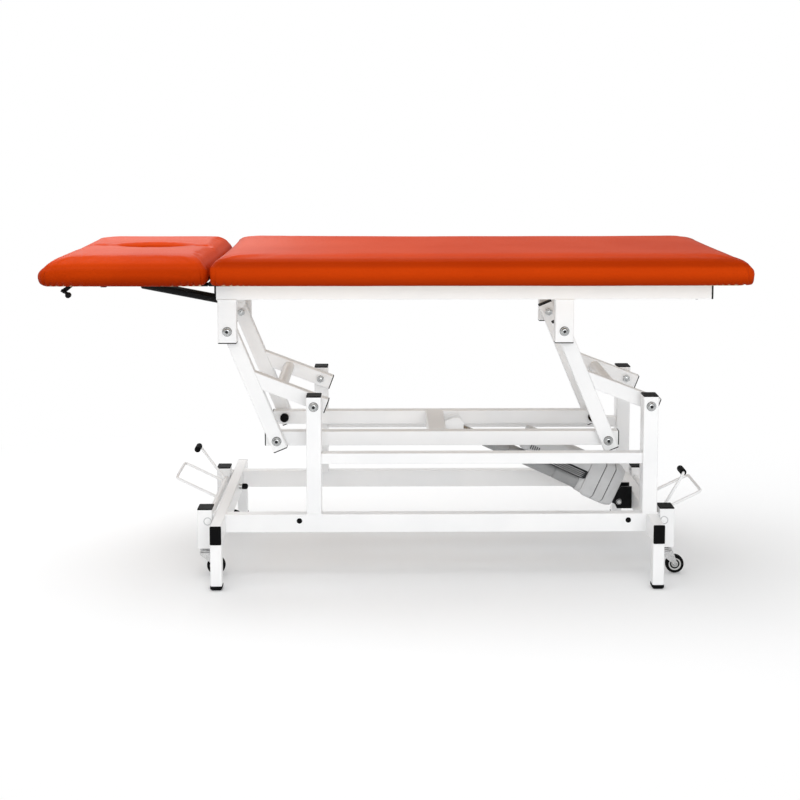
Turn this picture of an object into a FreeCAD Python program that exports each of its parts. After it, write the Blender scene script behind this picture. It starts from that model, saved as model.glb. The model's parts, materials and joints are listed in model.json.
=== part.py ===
import FreeCAD, Part
import os
import Sketcher

# Electric therapy table: a two-section padded couch on a steel frame that rises on two pairs of
# bell cranks. Millimetres and degrees. +X runs from the headrest to the foot end, +Z is up, and
# the origin lies on the floor under the middle of the table.

os.makedirs("parts", exist_ok=True)
doc = FreeCAD.newDocument("therapy_table")
VECTOR = FreeCAD.Vector

# Driving dimensions

SIZES = {
    # Tube stock and plastic plugs
    "tube_wall": 2,
    "tube_corner": 3,
    "frame_high": 50,
    "frame_wide": 30,
    "post_wide": 40,
    "post_deep": 50,
    "arm_high": 40,
    "arm_wide": 30,
    "tie_side": 30,
    "plug_lip": 3,
    "plug_depth": 12,
    "plug_slack": 0.3,
    # Fits
    "pin_slack": 0.05,
    "soft_gap": 0.3,
    # Base frame
    "foot_height": 12,
    "foot_bulge": 2,
    "leg_length": 111.5,
    "base_half": 235,
    "cross_half": 337.5,
    "head_pivot_x": -224,
    "pivot_spacing": 905,
    "pivot_height": 467,
    "post_over_pivot": 25.5,
    "head_cross_reach": 252.5,
    "foot_cross_reach": 5.5,
    "tie_height": 308,
    "tie_setback": 10,
    "rail_plug_radius": 7.5,
    "head_rail_plug": 39.5,
    "foot_rail_plug": 57.5,
    # Bell cranks, seen at rest
    "lever_tilt": 22.5,
    "rocker_slope": 21,
    "rocker_length": 190,
    "lever_upper": 142,
    "lever_lower": 191,
    "lever_end": 25,
    "rocker_end": 32,
    "bush_length": 10,
    "bush_radius": 13,
    "torsion_reach": 100,
    "torsion_radius": 16,
    # Pivot bolts
    "bolt_radius": 6,
    "head_radius": 10.5,
    "head_height": 6,
    "socket_across": 8,
    "washer_radius": 12,
    "washer_thick": 2,
    "nut_across": 19,
    "nut_high": 10,
    "cap_radius": 12.5,
    "cap_wall": 1.2,
    # Link frame
    "link_end": 32,
    "link_cross_reach": 440,
    "link_cross_wide": 50,
    "rod_pin_reach": 54,
    "ear_thick": 5,
    "ear_gap": 40,
    "ear_half": 30,
    "ear_nose": 24,
    # Top frame
    "hanger_end": 30,
    "hanger_rise": 86,
    "rail_cap": 5,
    "rail_head_reach": 28,
    "rail_foot_reach": 394,
    "spring_cross_reach": 16,
    "middle_cross_reach": 640,
    # Padding
    "hinge_reach": 33.28,
    "section_gap": 9,
    "main_length": 1409.5,
    "rest_length": 431.5,
    "pad_half": 325,
    "pad_thick": 76,
    "pad_corner": 28,
    "pad_top_round": 24,
    "pad_low_round": 13,
    "board_thick": 15,
    "board_inset": 16,
    "hole_centre": 192.5,
    "hole_half_length": 104,
    "hole_half_width": 50,
    "hole_rim": 9,
    # Headrest hinges and gas spring
    "leaf_thick": 3,
    "leaf_length": 52,
    "leaf_wide": 60,
    "leaf_side": 255,
    "knuckle_radius": 6,
    "hinge_pin_radius": 2.5,
    "knuckle_slack": 0.5,
    "spring_foot_drop": 38,
    "spring_eye_reach": 331,
    "spring_eye_drop": 17,
    "spring_radius": 12.5,
    "spring_barrel": 277,
    "spring_shoulder": 13,
    "spring_rod_radius": 5,
    "spring_pin_radius": 4,
    "spring_ear_half": 13,
    "spring_ear_gap": 22,
    "spring_ear_thick": 4,
    # Headrest release lever
    "release_reach": 388.5,
    "release_drop": 18.8,
    "release_side": 262,
    "release_run": 32,
    "release_plate": 5,
    "release_radius": 4,
    "release_length": 18,
    "release_slope": 28.8,
    "release_knob": 7.5,
    "clip_reach": 282,
    "clip_side": 7.5,
    # Lifting actuator
    "actuator_pin_x": 634.5,
    "actuator_pin_z": 144,
    "actuator_pin_radius": 5,
    "barrel_radius": 20,
    "barrel_front": 385,
    "nose_radius": 18.5,
    "nose_length": 40,
    "rod_radius": 15,
    "rod_eye_radius": 14,
    "rod_inside": 197,
    "rod_bore_slack": 0.4,
    "motor_front": 325,
    "motor_low": 24,
    "motor_top": 88,
    "motor_half": 35,
    "motor_round": 14,
    "gear_front": 118,
    "gear_rear": 22,
    "gear_low": 26,
    "gear_top": 96,
    "gear_half": 41,
    "gear_round": 12,
    "seam_wide": 2,
    "seam_deep": 1.2,
    "rear_eye_radius": 14,
    "rear_eye_half": 16,
    "bracket_thick": 6,
    "bracket_gap": 34,
    "bracket_top": 43,
    # Castor housings, pedals and castors
    "housing_gap": 7,
    "housing_bottom": 80,
    "housing_length": 106,
    "shaft_radius": 9,
    "shaft_inset": 8,
    "shaft_height": 155,
    "shaft_proud": 1,
    "rod_wire": 4,
    "loop_length": 131,
    "loop_slope": 26,
    "loop_inner": -10,
    "loop_outer": 155,
    "release_rod": 130,
    "head_rod_slope": 54,
    "foot_rod_slope": 60,
    "release_rod_side": 172,
    "grip_radius": 9,
    "grip_length": 45,
    "crank_arm": 18,
    "crank_rest": 17,
    "crank_thick": 8,
    "crank_pin_radius": 4,
    "slider_slack": 0.5,
    "slider_high": 30,
    "slider_low": 6,
    "slider_ear_thick": 8,
    "slot_slack": 0.4,
    "slot_extra": 3,
    "stem_radius": 8,
    "race_radius": 17,
    "race_high": 13,
    "race_gap": 1,
    "wheel_radius": 25,
    "wheel_wide": 18,
    "wheel_clear": 2,
    "wheel_hub_radius": 9,
    "tyre_depth": 5,
    "castor_trail": 27,
    "fork_gap": 22,
    "fork_thick": 2.5,
    "fork_slack": 0.5,
    "axle_radius": 3,
    "buffer_side": 100,
    "buffer_radius": 8.5,
    "buffer_length": 25,
}

sheet = doc.addObject("Spreadsheet::Sheet", "size")
for row, (alias, value) in enumerate(SIZES.items(), start=1):
    sheet.set(f"A{row}", alias)
    sheet.set(f"B{row}", str(value))
    sheet.setAlias(f"B{row}", alias)
gauge = doc.addObject("Part::Box", "gauge")
doc.recompute()

# Places that follow from the driving dimensions

FRAME_BOTTOM = "(size.foot_height + size.leg_length)"
FRAME_TOP = f"({FRAME_BOTTOM} + size.frame_high)"
HEAD_B_X = "size.head_pivot_x"
FOOT_B_X = "(size.head_pivot_x + size.pivot_spacing)"
PIVOT_X = {"head": HEAD_B_X, "foot": FOOT_B_X}
HEAD_CROSS_X = "(size.head_pivot_x - size.head_cross_reach)"
FOOT_CROSS_X = f"({FOOT_B_X} + size.foot_cross_reach)"
CROSS_X = {"head": HEAD_CROSS_X, "foot": FOOT_CROSS_X}

# Offsets from a rocker pivot to its lever's top and bottom pivots
JOINT_DX = "(-size.rocker_length * cos(size.rocker_slope * 1deg))"
JOINT_DZ = "(size.rocker_length * sin(size.rocker_slope * 1deg))"
TOP_DX = f"({JOINT_DX} - size.lever_upper * sin(size.lever_tilt * 1deg))"
TOP_DZ = f"({JOINT_DZ} + size.lever_upper * cos(size.lever_tilt * 1deg))"
LOW_DX = f"({JOINT_DX} + size.lever_lower * sin(size.lever_tilt * 1deg))"
LOW_DZ = f"({JOINT_DZ} - size.lever_lower * cos(size.lever_tilt * 1deg))"

# Layers across the table, each measured from its centre plane
POST_Y = "(size.base_half - size.post_deep / 2)"
RAIL_Y = "(size.base_half - size.frame_wide / 2)"
ARM_OUTER = "(size.base_half - size.post_deep - size.bush_length)"
ARM_Y = f"({ARM_OUTER} - size.arm_wide / 2)"
ARM_INNER = f"({ARM_OUTER} - size.arm_wide)"
LINK_OUTER = f"({ARM_INNER} - size.washer_thick)"
LINK_Y = f"({LINK_OUTER} - size.arm_wide / 2)"
LINK_INNER = f"({LINK_OUTER} - size.arm_wide)"
HANGER_INNER = f"({ARM_OUTER} + size.washer_thick)"
HANGER_Y = f"({HANGER_INNER} + size.frame_wide / 2)"
HANGER_OUTER = f"({HANGER_INNER} + size.frame_wide)"

# Heights and lengths of the top
TOP_PIVOT_Z = f"(size.pivot_height + {TOP_DZ})"
LOW_PIVOT_Z = f"(size.pivot_height + {LOW_DZ})"
HEAD_A_X = f"({HEAD_B_X} + {TOP_DX})"
HEAD_C_X = f"({HEAD_B_X} + {LOW_DX})"
RAIL_BOTTOM = f"({TOP_PIVOT_Z} + size.hanger_rise)"
PAD_BOTTOM = f"({RAIL_BOTTOM} + size.frame_high)"
HINGE_X = f"({HEAD_A_X} - size.hinge_reach)"
LEAF_LOW = f"({PAD_BOTTOM} - size.soft_gap - size.leaf_thick)"
HINGE_Z = f"({LEAF_LOW} + size.knuckle_radius)"

# The actuator's line, from its rear pin up to the rod pin on the link frame
ROD_PIN_X = f"({HEAD_C_X} + size.link_cross_reach + size.rod_pin_reach)"
ROD_RUN = f"(size.actuator_pin_x - {ROD_PIN_X})"
ROD_RISE = f"({LOW_PIVOT_Z} - size.actuator_pin_z)"
ROD_SLOPE = f"atan2({ROD_RISE}; {ROD_RUN})"
ROD_LENGTH = f"(sqrt({ROD_RUN} ^ 2 + {ROD_RISE} ^ 2))"

# The gas spring's line, from its foot on the top frame to its eye under the headrest
SPRING_FOOT_X = f"({HEAD_A_X} + size.spring_cross_reach)"
SPRING_FOOT_Z = f"({RAIL_BOTTOM} - size.spring_foot_drop)"
SPRING_EYE_X = f"({HINGE_X} - size.spring_eye_reach)"
SPRING_EYE_Z = f"({HINGE_Z} - size.spring_eye_drop)"
SPRING_RUN = f"({SPRING_FOOT_X} - {SPRING_EYE_X})"
SPRING_RISE = f"({SPRING_EYE_Z} - {SPRING_FOOT_Z})"
SPRING_SLOPE = f"atan2({SPRING_RISE}; {SPRING_RUN})"
SPRING_LENGTH = f"(sqrt({SPRING_RUN} ^ 2 + {SPRING_RISE} ^ 2))"

# Castor gear, measured outwards from a cross tube's centre
HOUSING_OUT = "(size.frame_wide / 2 + size.housing_gap + size.post_wide / 2)"
SHAFT_OUT = f"({HOUSING_OUT} - size.shaft_inset)"
AXLE_Z = "(size.wheel_radius + size.wheel_clear)"

nodes = []


def number(expression):
    """The value that an expression has with the present sizes."""
    value = gauge.evalExpression(str(expression))
    return float(getattr(value, "Value", value))


# Sketches and features

def sketch_on(body, role, offset=None):
    """A sketch on one of the body's origin planes, moved along that plane's normal."""
    plane = next(item for item in body.Origin.OriginFeatures if item.Role == role)
    sketch = body.newObject("Sketcher::SketchObject", f"{body.Name}_sketch")
    sketch.AttachmentSupport = (plane, [""])
    sketch.MapMode = "FlatFace"
    if offset is not None:
        sketch.setExpression("AttachmentOffset.Base.z", str(offset))
    return sketch


def bind(sketch, kind, *where_and_size):
    """Adds a dimension and ties it to an expression."""
    *where, expression = where_and_size
    index = sketch.addConstraint(Sketcher.Constraint(kind, *where, number(expression)))
    sketch.setExpression(f"Constraints[{index}]", str(expression))


def outline(sketch, points):
    """Closed outline of straight edges through points given as pairs of expressions."""
    corners = [VECTOR(number(x), number(y), 0) for x, y in points]
    count = len(corners)
    first = sketch.GeometryCount
    for index, corner in enumerate(corners):
        sketch.addGeometry(Part.LineSegment(corner, corners[(index + 1) % count]), False)
    for index, (x, y) in enumerate(points):
        edge = first + index
        before = first + (index - 1) % count
        sketch.addConstraint(Sketcher.Constraint("Coincident", before, 2, edge, 1))
        bind(sketch, "DistanceX", -1, 1, edge, 1, x)
        bind(sketch, "DistanceY", -1, 1, edge, 1, y)


def box_outline(sketch, low_x, high_x, low_y, high_y):
    outline(sketch, [(low_x, low_y), (high_x, low_y), (high_x, high_y), (low_x, high_y)])


def circle(sketch, radius, x="0", y="0"):
    centre = VECTOR(number(x), number(y), 0)
    index = sketch.addGeometry(Part.Circle(centre, VECTOR(0, 0, 1), number(radius)), False)
    bind(sketch, "DistanceX", -1, 1, index, 3, x)
    bind(sketch, "DistanceY", -1, 1, index, 3, y)
    bind(sketch, "Radius", index, radius)


def rounded_outline(sketch, low_x, high_x, low_y, high_y, corner):
    """Rectangle with four equal rounded corners."""
    x0, x1, y0, y1 = (number(edge) for edge in (low_x, high_x, low_y, high_y))
    bend = number(corner)
    ring = [
        (VECTOR(x0 + bend, y0, 0), VECTOR(x1 - bend, y0, 0), VECTOR(x1 - bend, y0 + bend, 0), 270),
        (VECTOR(x1, y0 + bend, 0), VECTOR(x1, y1 - bend, 0), VECTOR(x1 - bend, y1 - bend, 0), 0),
        (VECTOR(x1 - bend, y1, 0), VECTOR(x0 + bend, y1, 0), VECTOR(x0 + bend, y1 - bend, 0), 90),
        (VECTOR(x0, y1 - bend, 0), VECTOR(x0, y0 + bend, 0), VECTOR(x0 + bend, y0 + bend, 0), 180),
    ]
    first = sketch.GeometryCount
    quarter = FreeCAD.Units.Quantity("90 deg").getValueAs("rad").Value
    for start, end, centre, angle in ring:
        turn = quarter * angle / 90
        full = Part.Circle(centre, VECTOR(0, 0, 1), bend)
        sketch.addGeometry(Part.LineSegment(start, end), False)
        sketch.addGeometry(Part.ArcOfCircle(full, turn, turn + quarter), False)
    sides = [first, first + 2, first + 4, first + 6]
    arcs = [first + 1, first + 3, first + 5, first + 7]
    for index in range(4):
        after = sides[(index + 1) % 4]
        sketch.addConstraint(Sketcher.Constraint("Tangent", sides[index], 2, arcs[index], 1))
        sketch.addConstraint(Sketcher.Constraint("Tangent", arcs[index], 2, after, 1))
    for side in (sides[0], sides[2]):
        sketch.addConstraint(Sketcher.Constraint("Horizontal", side))
    for side in (sides[1], sides[3]):
        sketch.addConstraint(Sketcher.Constraint("Vertical", side))
    for arc in arcs[1:]:
        sketch.addConstraint(Sketcher.Constraint("Equal", arcs[0], arc))
    bind(sketch, "Radius", arcs[0], corner)
    bind(sketch, "DistanceY", -1, 1, sides[0], 1, low_y)
    bind(sketch, "DistanceY", -1, 1, sides[2], 1, high_y)
    bind(sketch, "DistanceX", -1, 1, sides[1], 1, high_x)
    bind(sketch, "DistanceX", -1, 1, sides[3], 1, low_x)


def section(sketch, wide, high, corner="size.tube_corner"):
    """Rounded rectangle centred on the sketch's origin."""
    rounded_outline(sketch, f"-({wide}) / 2", f"({wide}) / 2", f"-({high}) / 2", f"({high}) / 2", corner)


def hexagon(sketch, across):
    """Hexagon centred on the origin, by its width across the flats."""
    turns = [f"{60 * index + 30} deg" for index in range(6)]
    reach = f"({across}) / 2 / cos(30 deg)"
    outline(sketch, [(f"{reach} * cos({turn})", f"{reach} * sin({turn})") for turn in turns])


def pad(sketch, length, symmetric=False, backwards=False):
    body = sketch.getParentGeoFeatureGroup()
    feature = body.newObject("PartDesign::Pad", f"{sketch.Name}_pad")
    feature.Profile = sketch
    feature.SideType = "Symmetric" if symmetric else "One side"
    feature.Reversed = backwards
    feature.setExpression("Length", str(length))
    return feature


def pocket(sketch, depth=None, backwards=False):
    """Cuts a sketch out, right through both ways unless a depth is given."""
    body = sketch.getParentGeoFeatureGroup()
    feature = body.newObject("PartDesign::Pocket", f"{sketch.Name}_pocket")
    feature.Profile = sketch
    if depth is None:
        feature.Type = "ThroughAll"
        feature.SideType = "Symmetric"
    else:
        feature.Reversed = backwards
        feature.setExpression("Length", str(depth))
    return feature


def revolve(sketch, axis="H_Axis"):
    """Turns a sketch once round one of its own axes."""
    body = sketch.getParentGeoFeatureGroup()
    feature = body.newObject("PartDesign::Revolution", f"{sketch.Name}_turned")
    feature.Profile = sketch
    feature.ReferenceAxis = (sketch, [axis])
    feature.Angle = 360
    return feature


def round_edges(base, radius, wanted):
    """Fillets the edges of a feature for which wanted(edge) is true."""
    doc.recompute()
    body = base.getParentGeoFeatureGroup()
    names = [f"Edge{index + 1}" for index, edge in enumerate(base.Shape.Edges) if wanted(edge)]
    feature = body.newObject("PartDesign::Fillet", f"{base.Name}_round")
    feature.Base = (base, names)
    feature.setExpression("Radius", str(radius))
    return feature


def bevel_edges(base, width, wanted):
    """Chamfers the edges of a feature for which wanted(edge) is true."""
    doc.recompute()
    body = base.getParentGeoFeatureGroup()
    names = [f"Edge{index + 1}" for index, edge in enumerate(base.Shape.Edges) if wanted(edge)]
    feature = body.newObject("PartDesign::Chamfer", f"{base.Name}_bevel")
    feature.Base = (base, names)
    feature.setExpression("Size", str(width))
    return feature


def all_at(axis, level):
    """Picks edges that lie wholly at one level of an axis, such as a top rim."""
    def wanted(edge):
        return all(abs(getattr(vertex.Point, axis) - level) < 0.01 for vertex in edge.Vertexes)
    return wanted


def new_body(name):
    return doc.addObject("PartDesign::Body", name)


# Placing and naming

def place(piece, x="0", y="0", z="0", turn=None, about="Y"):
    """Puts a piece at a point, turned by an angle about X, Y or Z."""
    if turn is not None:
        axis = VECTOR(*(1 if about == name else 0 for name in "XYZ"))
        piece.Placement = FreeCAD.Placement(VECTOR(), FreeCAD.Rotation(axis, 1))
        piece.setExpression("Placement.Rotation.Angle", f"({turn})")
    for name, value in zip("xyz", (x, y, z)):
        piece.setExpression(f"Placement.Base.{name}", str(value))
    return piece


def node(label, piece):
    """Names a finished sub-part, which gets a file of its own."""
    piece.Label = label
    nodes.append(piece)
    return piece


def group(label, pieces):
    """One sub-part of several like solids."""
    compound = doc.addObject("Part::Compound", label)
    compound.Links = pieces
    return node(label, compound)


def mirrored(piece):
    """The same piece on the other side of the table's centre plane."""
    image = doc.addObject("Part::Mirroring", f"{piece.Name}_far")
    image.Source = piece
    image.Normal = VECTOR(0, 1, 0)
    return image


def both_sides(pieces):
    return [item for piece in pieces for item in (piece, mirrored(piece))]


def cut(name, base, tool):
    remains = doc.addObject("Part::Cut", name)
    remains.Base = base
    remains.Tool = tool
    return remains


def cylinder(name, radius, length):
    """Round bar along +Z."""
    bar = doc.addObject("Part::Cylinder", name)
    bar.setExpression("Radius", str(radius))
    bar.setExpression("Height", str(length))
    return bar


# Shapes that repeat

def tube(name, length, wide, high, before="0", pivots=()):
    """Hollow section along +X from -before, length long, with bolt holes across it.

    wide is the size along Y and high the size along Z.
    """
    body = new_body(name)
    profile = sketch_on(body, "YZ_Plane", f"-({before})")
    section(profile, wide, high)
    half_wide = f"(({wide}) / 2 - size.tube_wall)"
    half_high = f"(({high}) / 2 - size.tube_wall)"
    box_outline(profile, f"-{half_wide}", half_wide, f"-{half_high}", half_high)
    pad(profile, length)
    if pivots:
        bolt_holes(body, pivots)
    return body


def bolt_holes(body, spots, radius="size.bolt_radius + size.pin_slack"):
    """Round holes through a body along Y at spots given in its X and Z."""
    sketch = sketch_on(body, "XZ_Plane")
    for x, z in spots:
        circle(sketch, radius, x, z)
    return pocket(sketch)


def plug(name, wide, high, lip="size.plug_lip"):
    """Plastic end plug: a lip that covers the tube's end, facing +X, and a spigot inside it."""
    body = new_body(name)
    face = sketch_on(body, "YZ_Plane")
    section(face, wide, high)
    lip_pad = pad(face, lip)
    bevel_edges(lip_pad, "size.plug_lip / 3", all_at("x", number(lip)))
    spigot = sketch_on(body, "YZ_Plane")
    inset = "size.tube_wall - size.plug_slack"
    half_wide = f"(({wide}) / 2 - {inset})"
    half_high = f"(({high}) / 2 - {inset})"
    box_outline(spigot, f"-{half_wide}", half_wide, f"-{half_high}", half_high)
    pad(spigot, "size.plug_depth", backwards=True)
    return body


def screw(name, grip):
    """Button-head pivot bolt along +X with its washer: the head lies at -X and the grip starts at 0."""
    body = new_body(name)
    profile = sketch_on(body, "XY_Plane")
    face = "-(size.head_height + size.washer_thick)"
    end = f"({grip} + size.nut_high)"
    outline(profile, [
        (face, "0"),
        (face, "size.head_radius * 0.55"),
        ("-(size.head_height * 0.7 + size.washer_thick)", "size.head_radius * 0.85"),
        ("-(size.head_height * 0.3 + size.washer_thick)", "size.head_radius"),
        ("-size.washer_thick", "size.head_radius"),
        ("-size.washer_thick", "size.washer_radius"),
        ("0", "size.washer_radius"),
        ("0", "size.bolt_radius"),
        (end, "size.bolt_radius"),
        (end, "0"),
    ])
    revolve(profile)
    socket = sketch_on(body, "YZ_Plane", face)
    hexagon(socket, "size.socket_across")
    pocket(socket, "size.head_height / 2", backwards=True)
    return body


def nut(name):
    """Hexagon nut along +X from 0."""
    body = new_body(name)
    profile = sketch_on(body, "YZ_Plane")
    hexagon(profile, "size.nut_across")
    circle(profile, "size.bolt_radius + size.pin_slack")
    pad(profile, "size.nut_high")
    return body


def nut_cap(name):
    """Domed plastic cap over a nut, along +X from 0."""
    body = new_body(name)
    profile = sketch_on(body, "XY_Plane")
    inner = "(size.nut_across / 2 / cos(30 deg) + size.pin_slack)"
    top = "(size.nut_high + size.plug_slack)"
    outline(profile, [
        ("0", inner),
        ("0", "size.cap_radius"),
        ("size.nut_high", "size.cap_radius"),
        (f"{top} + size.cap_wall * 1.2", "size.cap_radius * 0.85"),
        (f"{top} + size.cap_wall * 2.4", "size.cap_radius * 0.45"),
        (f"{top} + size.cap_wall * 2.6", "0"),
        (top, "0"),
        (top, inner),
    ])
    revolve(profile)
    return body


def ear(name, points, thick, hole=None):
    """Flat plate in the XZ plane, centred on Y, with an optional round hole."""
    body = new_body(name)
    sketch = sketch_on(body, "XZ_Plane")
    outline(sketch, points)
    if hole:
        circle(sketch, *hole)
    pad(sketch, thick, symmetric=True)
    return body


# Base frame

def base_rails():
    """Long rails of the base, between the two cross tubes."""
    start = f"({HEAD_CROSS_X} + size.frame_wide / 2)"
    length = f"({FOOT_CROSS_X} - {HEAD_CROSS_X} - size.frame_wide)"
    height = f"({FRAME_BOTTOM} + size.frame_high / 2)"
    rail = tube("base_rail", length, "size.frame_wide", "size.frame_high")
    holes = sketch_on(rail, "XZ_Plane")
    for plug_x in rail_plug_places():
        circle(holes, "size.rail_plug_radius * 0.7", f"{plug_x} - {start}", "size.frame_high / 7")
    pocket(holes)
    place(rail, start, f"-{RAIL_Y}", height)
    group("base_rails", both_sides([rail]))


def rail_plug_places():
    """Both round plugs of a rail stand outside and inside the posts' pivots by their own reach."""
    return (f"({HEAD_B_X} - size.head_rail_plug)", f"({FOOT_B_X} - size.foot_rail_plug)")


def rail_plugs():
    """Round plugs in the access holes on the rails' outer faces."""
    pieces = []
    height = f"({FRAME_BOTTOM} + size.frame_high / 2 + size.frame_high / 7)"
    for index, x in enumerate(rail_plug_places()):
        body = new_body(f"rail_plug_{index}")
        profile = sketch_on(body, "XY_Plane")
        shank = "(size.rail_plug_radius * 0.7 - size.plug_slack)"
        outline(profile, [
            ("-size.tube_wall", "0"),
            ("-size.tube_wall * 0.6", "size.rail_plug_radius * 0.7"),
            ("0", "size.rail_plug_radius"),
            ("0", shank),
            ("size.tube_wall * 2", shank),
            ("size.tube_wall * 2", "0"),
        ])
        revolve(profile)
        pieces.append(place(body, x, "-size.base_half", height, "90", "Z"))
    return pieces


def cross_tubes():
    """Transverse base tubes that carry the legs."""
    height = f"({FRAME_BOTTOM} + size.frame_high / 2)"
    for end, x in CROSS_X.items():
        bar = tube(f"cross_{end}", "2 * size.cross_half", "size.frame_wide", "size.frame_high")
        node(f"base_cross_tube_{end}", place(bar, x, "-size.cross_half", height, "90", "Z"))


def posts():
    """Four uprights that carry the rocker pivots."""
    length = f"(size.pivot_height + size.post_over_pivot - {FRAME_TOP})"
    pivot = (f"(size.pivot_height - {FRAME_TOP})", "0")
    uprights = []
    for end, x in PIVOT_X.items():
        upright = tube(f"post_{end}", length, "size.post_deep", "size.post_wide", pivots=[pivot])
        uprights.append(place(upright, x, f"-{POST_Y}", FRAME_TOP, "270"))
    group("posts", both_sides(uprights))


def post_ties():
    """Slim tubes that tie the two posts of each side together."""
    start = f"({HEAD_B_X} + size.post_wide / 2)"
    length = "(size.pivot_spacing - size.post_wide)"
    y = "-(size.base_half - size.tie_setback - size.tie_side / 2)"
    bar = tube("tie", length, "size.tie_side", "size.tie_side")
    place(bar, start, y, "size.tie_height + size.tie_side / 2")
    group("post_ties", both_sides([bar]))


def legs_and_feet():
    """Short legs under the ends of the cross tubes, each on a domed rubber foot."""
    legs = []
    feet = []
    y = "-(size.cross_half - size.tie_side / 2)"
    for end, x in CROSS_X.items():
        leg = tube(f"leg_{end}", "size.leg_length", "size.tie_side", "size.tie_side")
        legs.append(place(leg, x, y, "size.foot_height", "270"))
        foot = new_body(f"foot_{end}")
        tread = sketch_on(foot, "XY_Plane")
        side = "(size.tie_side + size.foot_bulge)"
        section(tread, side, side, "size.tube_corner + size.foot_bulge / 2")
        block = pad(tread, "size.foot_height")
        round_edges(block, "size.foot_height * 0.6", all_at("z", 0))
        spigot = sketch_on(foot, "XY_Plane", "size.foot_height")
        inner = "(size.tie_side / 2 - size.tube_wall - size.plug_slack)"
        box_outline(spigot, f"-{inner}", inner, f"-{inner}", inner)
        pad(spigot, "size.plug_depth")
        feet.append(place(foot, x, y))
    group("legs", both_sides(legs))
    group("rubber_feet", both_sides(feet))


def castor_housings():
    """Upright tubes outboard of the cross tubes, which guide the castor stems."""
    pieces = []
    for end, way in (("head", -1), ("foot", 1)):
        x = f"({CROSS_X[end]} + {way} * {HOUSING_OUT})"
        inset = f"({-way} * size.shaft_inset)"
        box = tube(f"housing_{end}", "size.housing_length", "size.post_deep", "size.post_wide")
        hole = ("size.shaft_height - size.housing_bottom", f"-{inset}")
        bolt_holes(box, [hole], "size.shaft_radius + size.pin_slack")
        pieces.append(place(box, x, f"-{POST_Y}", "size.housing_bottom", "270"))
        lug = new_body(f"lug_{end}")
        plate = sketch_on(lug, "XZ_Plane")
        inner = f"({CROSS_X[end]} + {way} * size.frame_wide / 2)"
        outer = f"({CROSS_X[end]} + {way} * (size.frame_wide / 2 + size.housing_gap))"
        low, high = (outer, inner) if way < 0 else (inner, outer)
        box_outline(plate, low, high, f"{FRAME_TOP} - size.frame_high * 0.8", FRAME_TOP)
        pad(plate, "size.post_deep * 0.6", symmetric=True)
        pieces.append(place(lug, "0", f"-{POST_Y}"))
    group("castor_housings", both_sides(pieces))


def base_plugs():
    """Black plugs on the open ends of the base frame's tubes and in the rails' holes."""
    pieces = rail_plugs()
    for end, x in CROSS_X.items():
        way = -1 if end == "head" else 1
        height = f"({FRAME_BOTTOM} + size.frame_high / 2)"
        cover = plug(f"cross_plug_{end}", "size.frame_wide", "size.frame_high")
        pieces.append(place(cover, x, "-size.cross_half", height, "270", "Z"))
        cover = plug(f"post_plug_{end}", "size.post_deep", "size.post_wide")
        post_top = "size.pivot_height + size.post_over_pivot"
        pieces.append(place(cover, PIVOT_X[end], f"-{POST_Y}", post_top, "270"))
        cover = plug(f"housing_plug_{end}", "size.post_deep", "size.post_wide")
        housing_x = f"{x} + {way} * {HOUSING_OUT}"
        housing_top = "size.housing_bottom + size.housing_length"
        pieces.append(place(cover, housing_x, f"-{POST_Y}", housing_top, "270"))
    group("base_plugs", both_sides(pieces))


def post_bolts():
    """Bolts, nuts and spacer bushes of the four rocker pivots."""
    pieces = []
    grip = "(size.post_deep + size.bush_length + size.arm_wide)"
    for end, x in PIVOT_X.items():
        bolt = screw(f"post_bolt_{end}", grip)
        pieces.append(place(bolt, x, "-size.base_half", "size.pivot_height", "90", "Z"))
        holder = nut(f"post_nut_{end}")
        pieces.append(place(holder, x, f"-({ARM_INNER})", "size.pivot_height", "90", "Z"))
        bush = new_body(f"bush_{end}")
        ring = sketch_on(bush, "YZ_Plane")
        circle(ring, "size.bush_radius")
        circle(ring, "size.bolt_radius + size.pin_slack")
        pad(ring, "size.bush_length")
        inner_face = "-(size.base_half - size.post_deep)"
        pieces.append(place(bush, x, inner_face, "size.pivot_height", "90", "Z"))
    group("post_pivot_bolts", both_sides(pieces))


def buffer_stop():
    """Rubber buffer on the inner face of the head cross tube."""
    body = new_body("buffer")
    profile = sketch_on(body, "XY_Plane")
    outline(profile, [
        ("0", "0"),
        ("0", "size.buffer_radius"),
        ("size.buffer_length * 0.25", "size.buffer_radius"),
        ("size.buffer_length * 0.25", "size.buffer_radius * 0.8"),
        ("size.buffer_length * 0.4", "size.buffer_radius * 0.8"),
        ("size.buffer_length * 0.4", "size.buffer_radius"),
        ("size.buffer_length * 0.8", "size.buffer_radius"),
        ("size.buffer_length", "size.buffer_radius * 0.5"),
        ("size.buffer_length", "0"),
    ])
    revolve(profile)
    x = f"({HEAD_CROSS_X} + size.frame_wide / 2)"
    node("cross_tube_buffer", place(body, x, "size.buffer_side", f"{FRAME_TOP} - size.frame_high * 0.35"))


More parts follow.
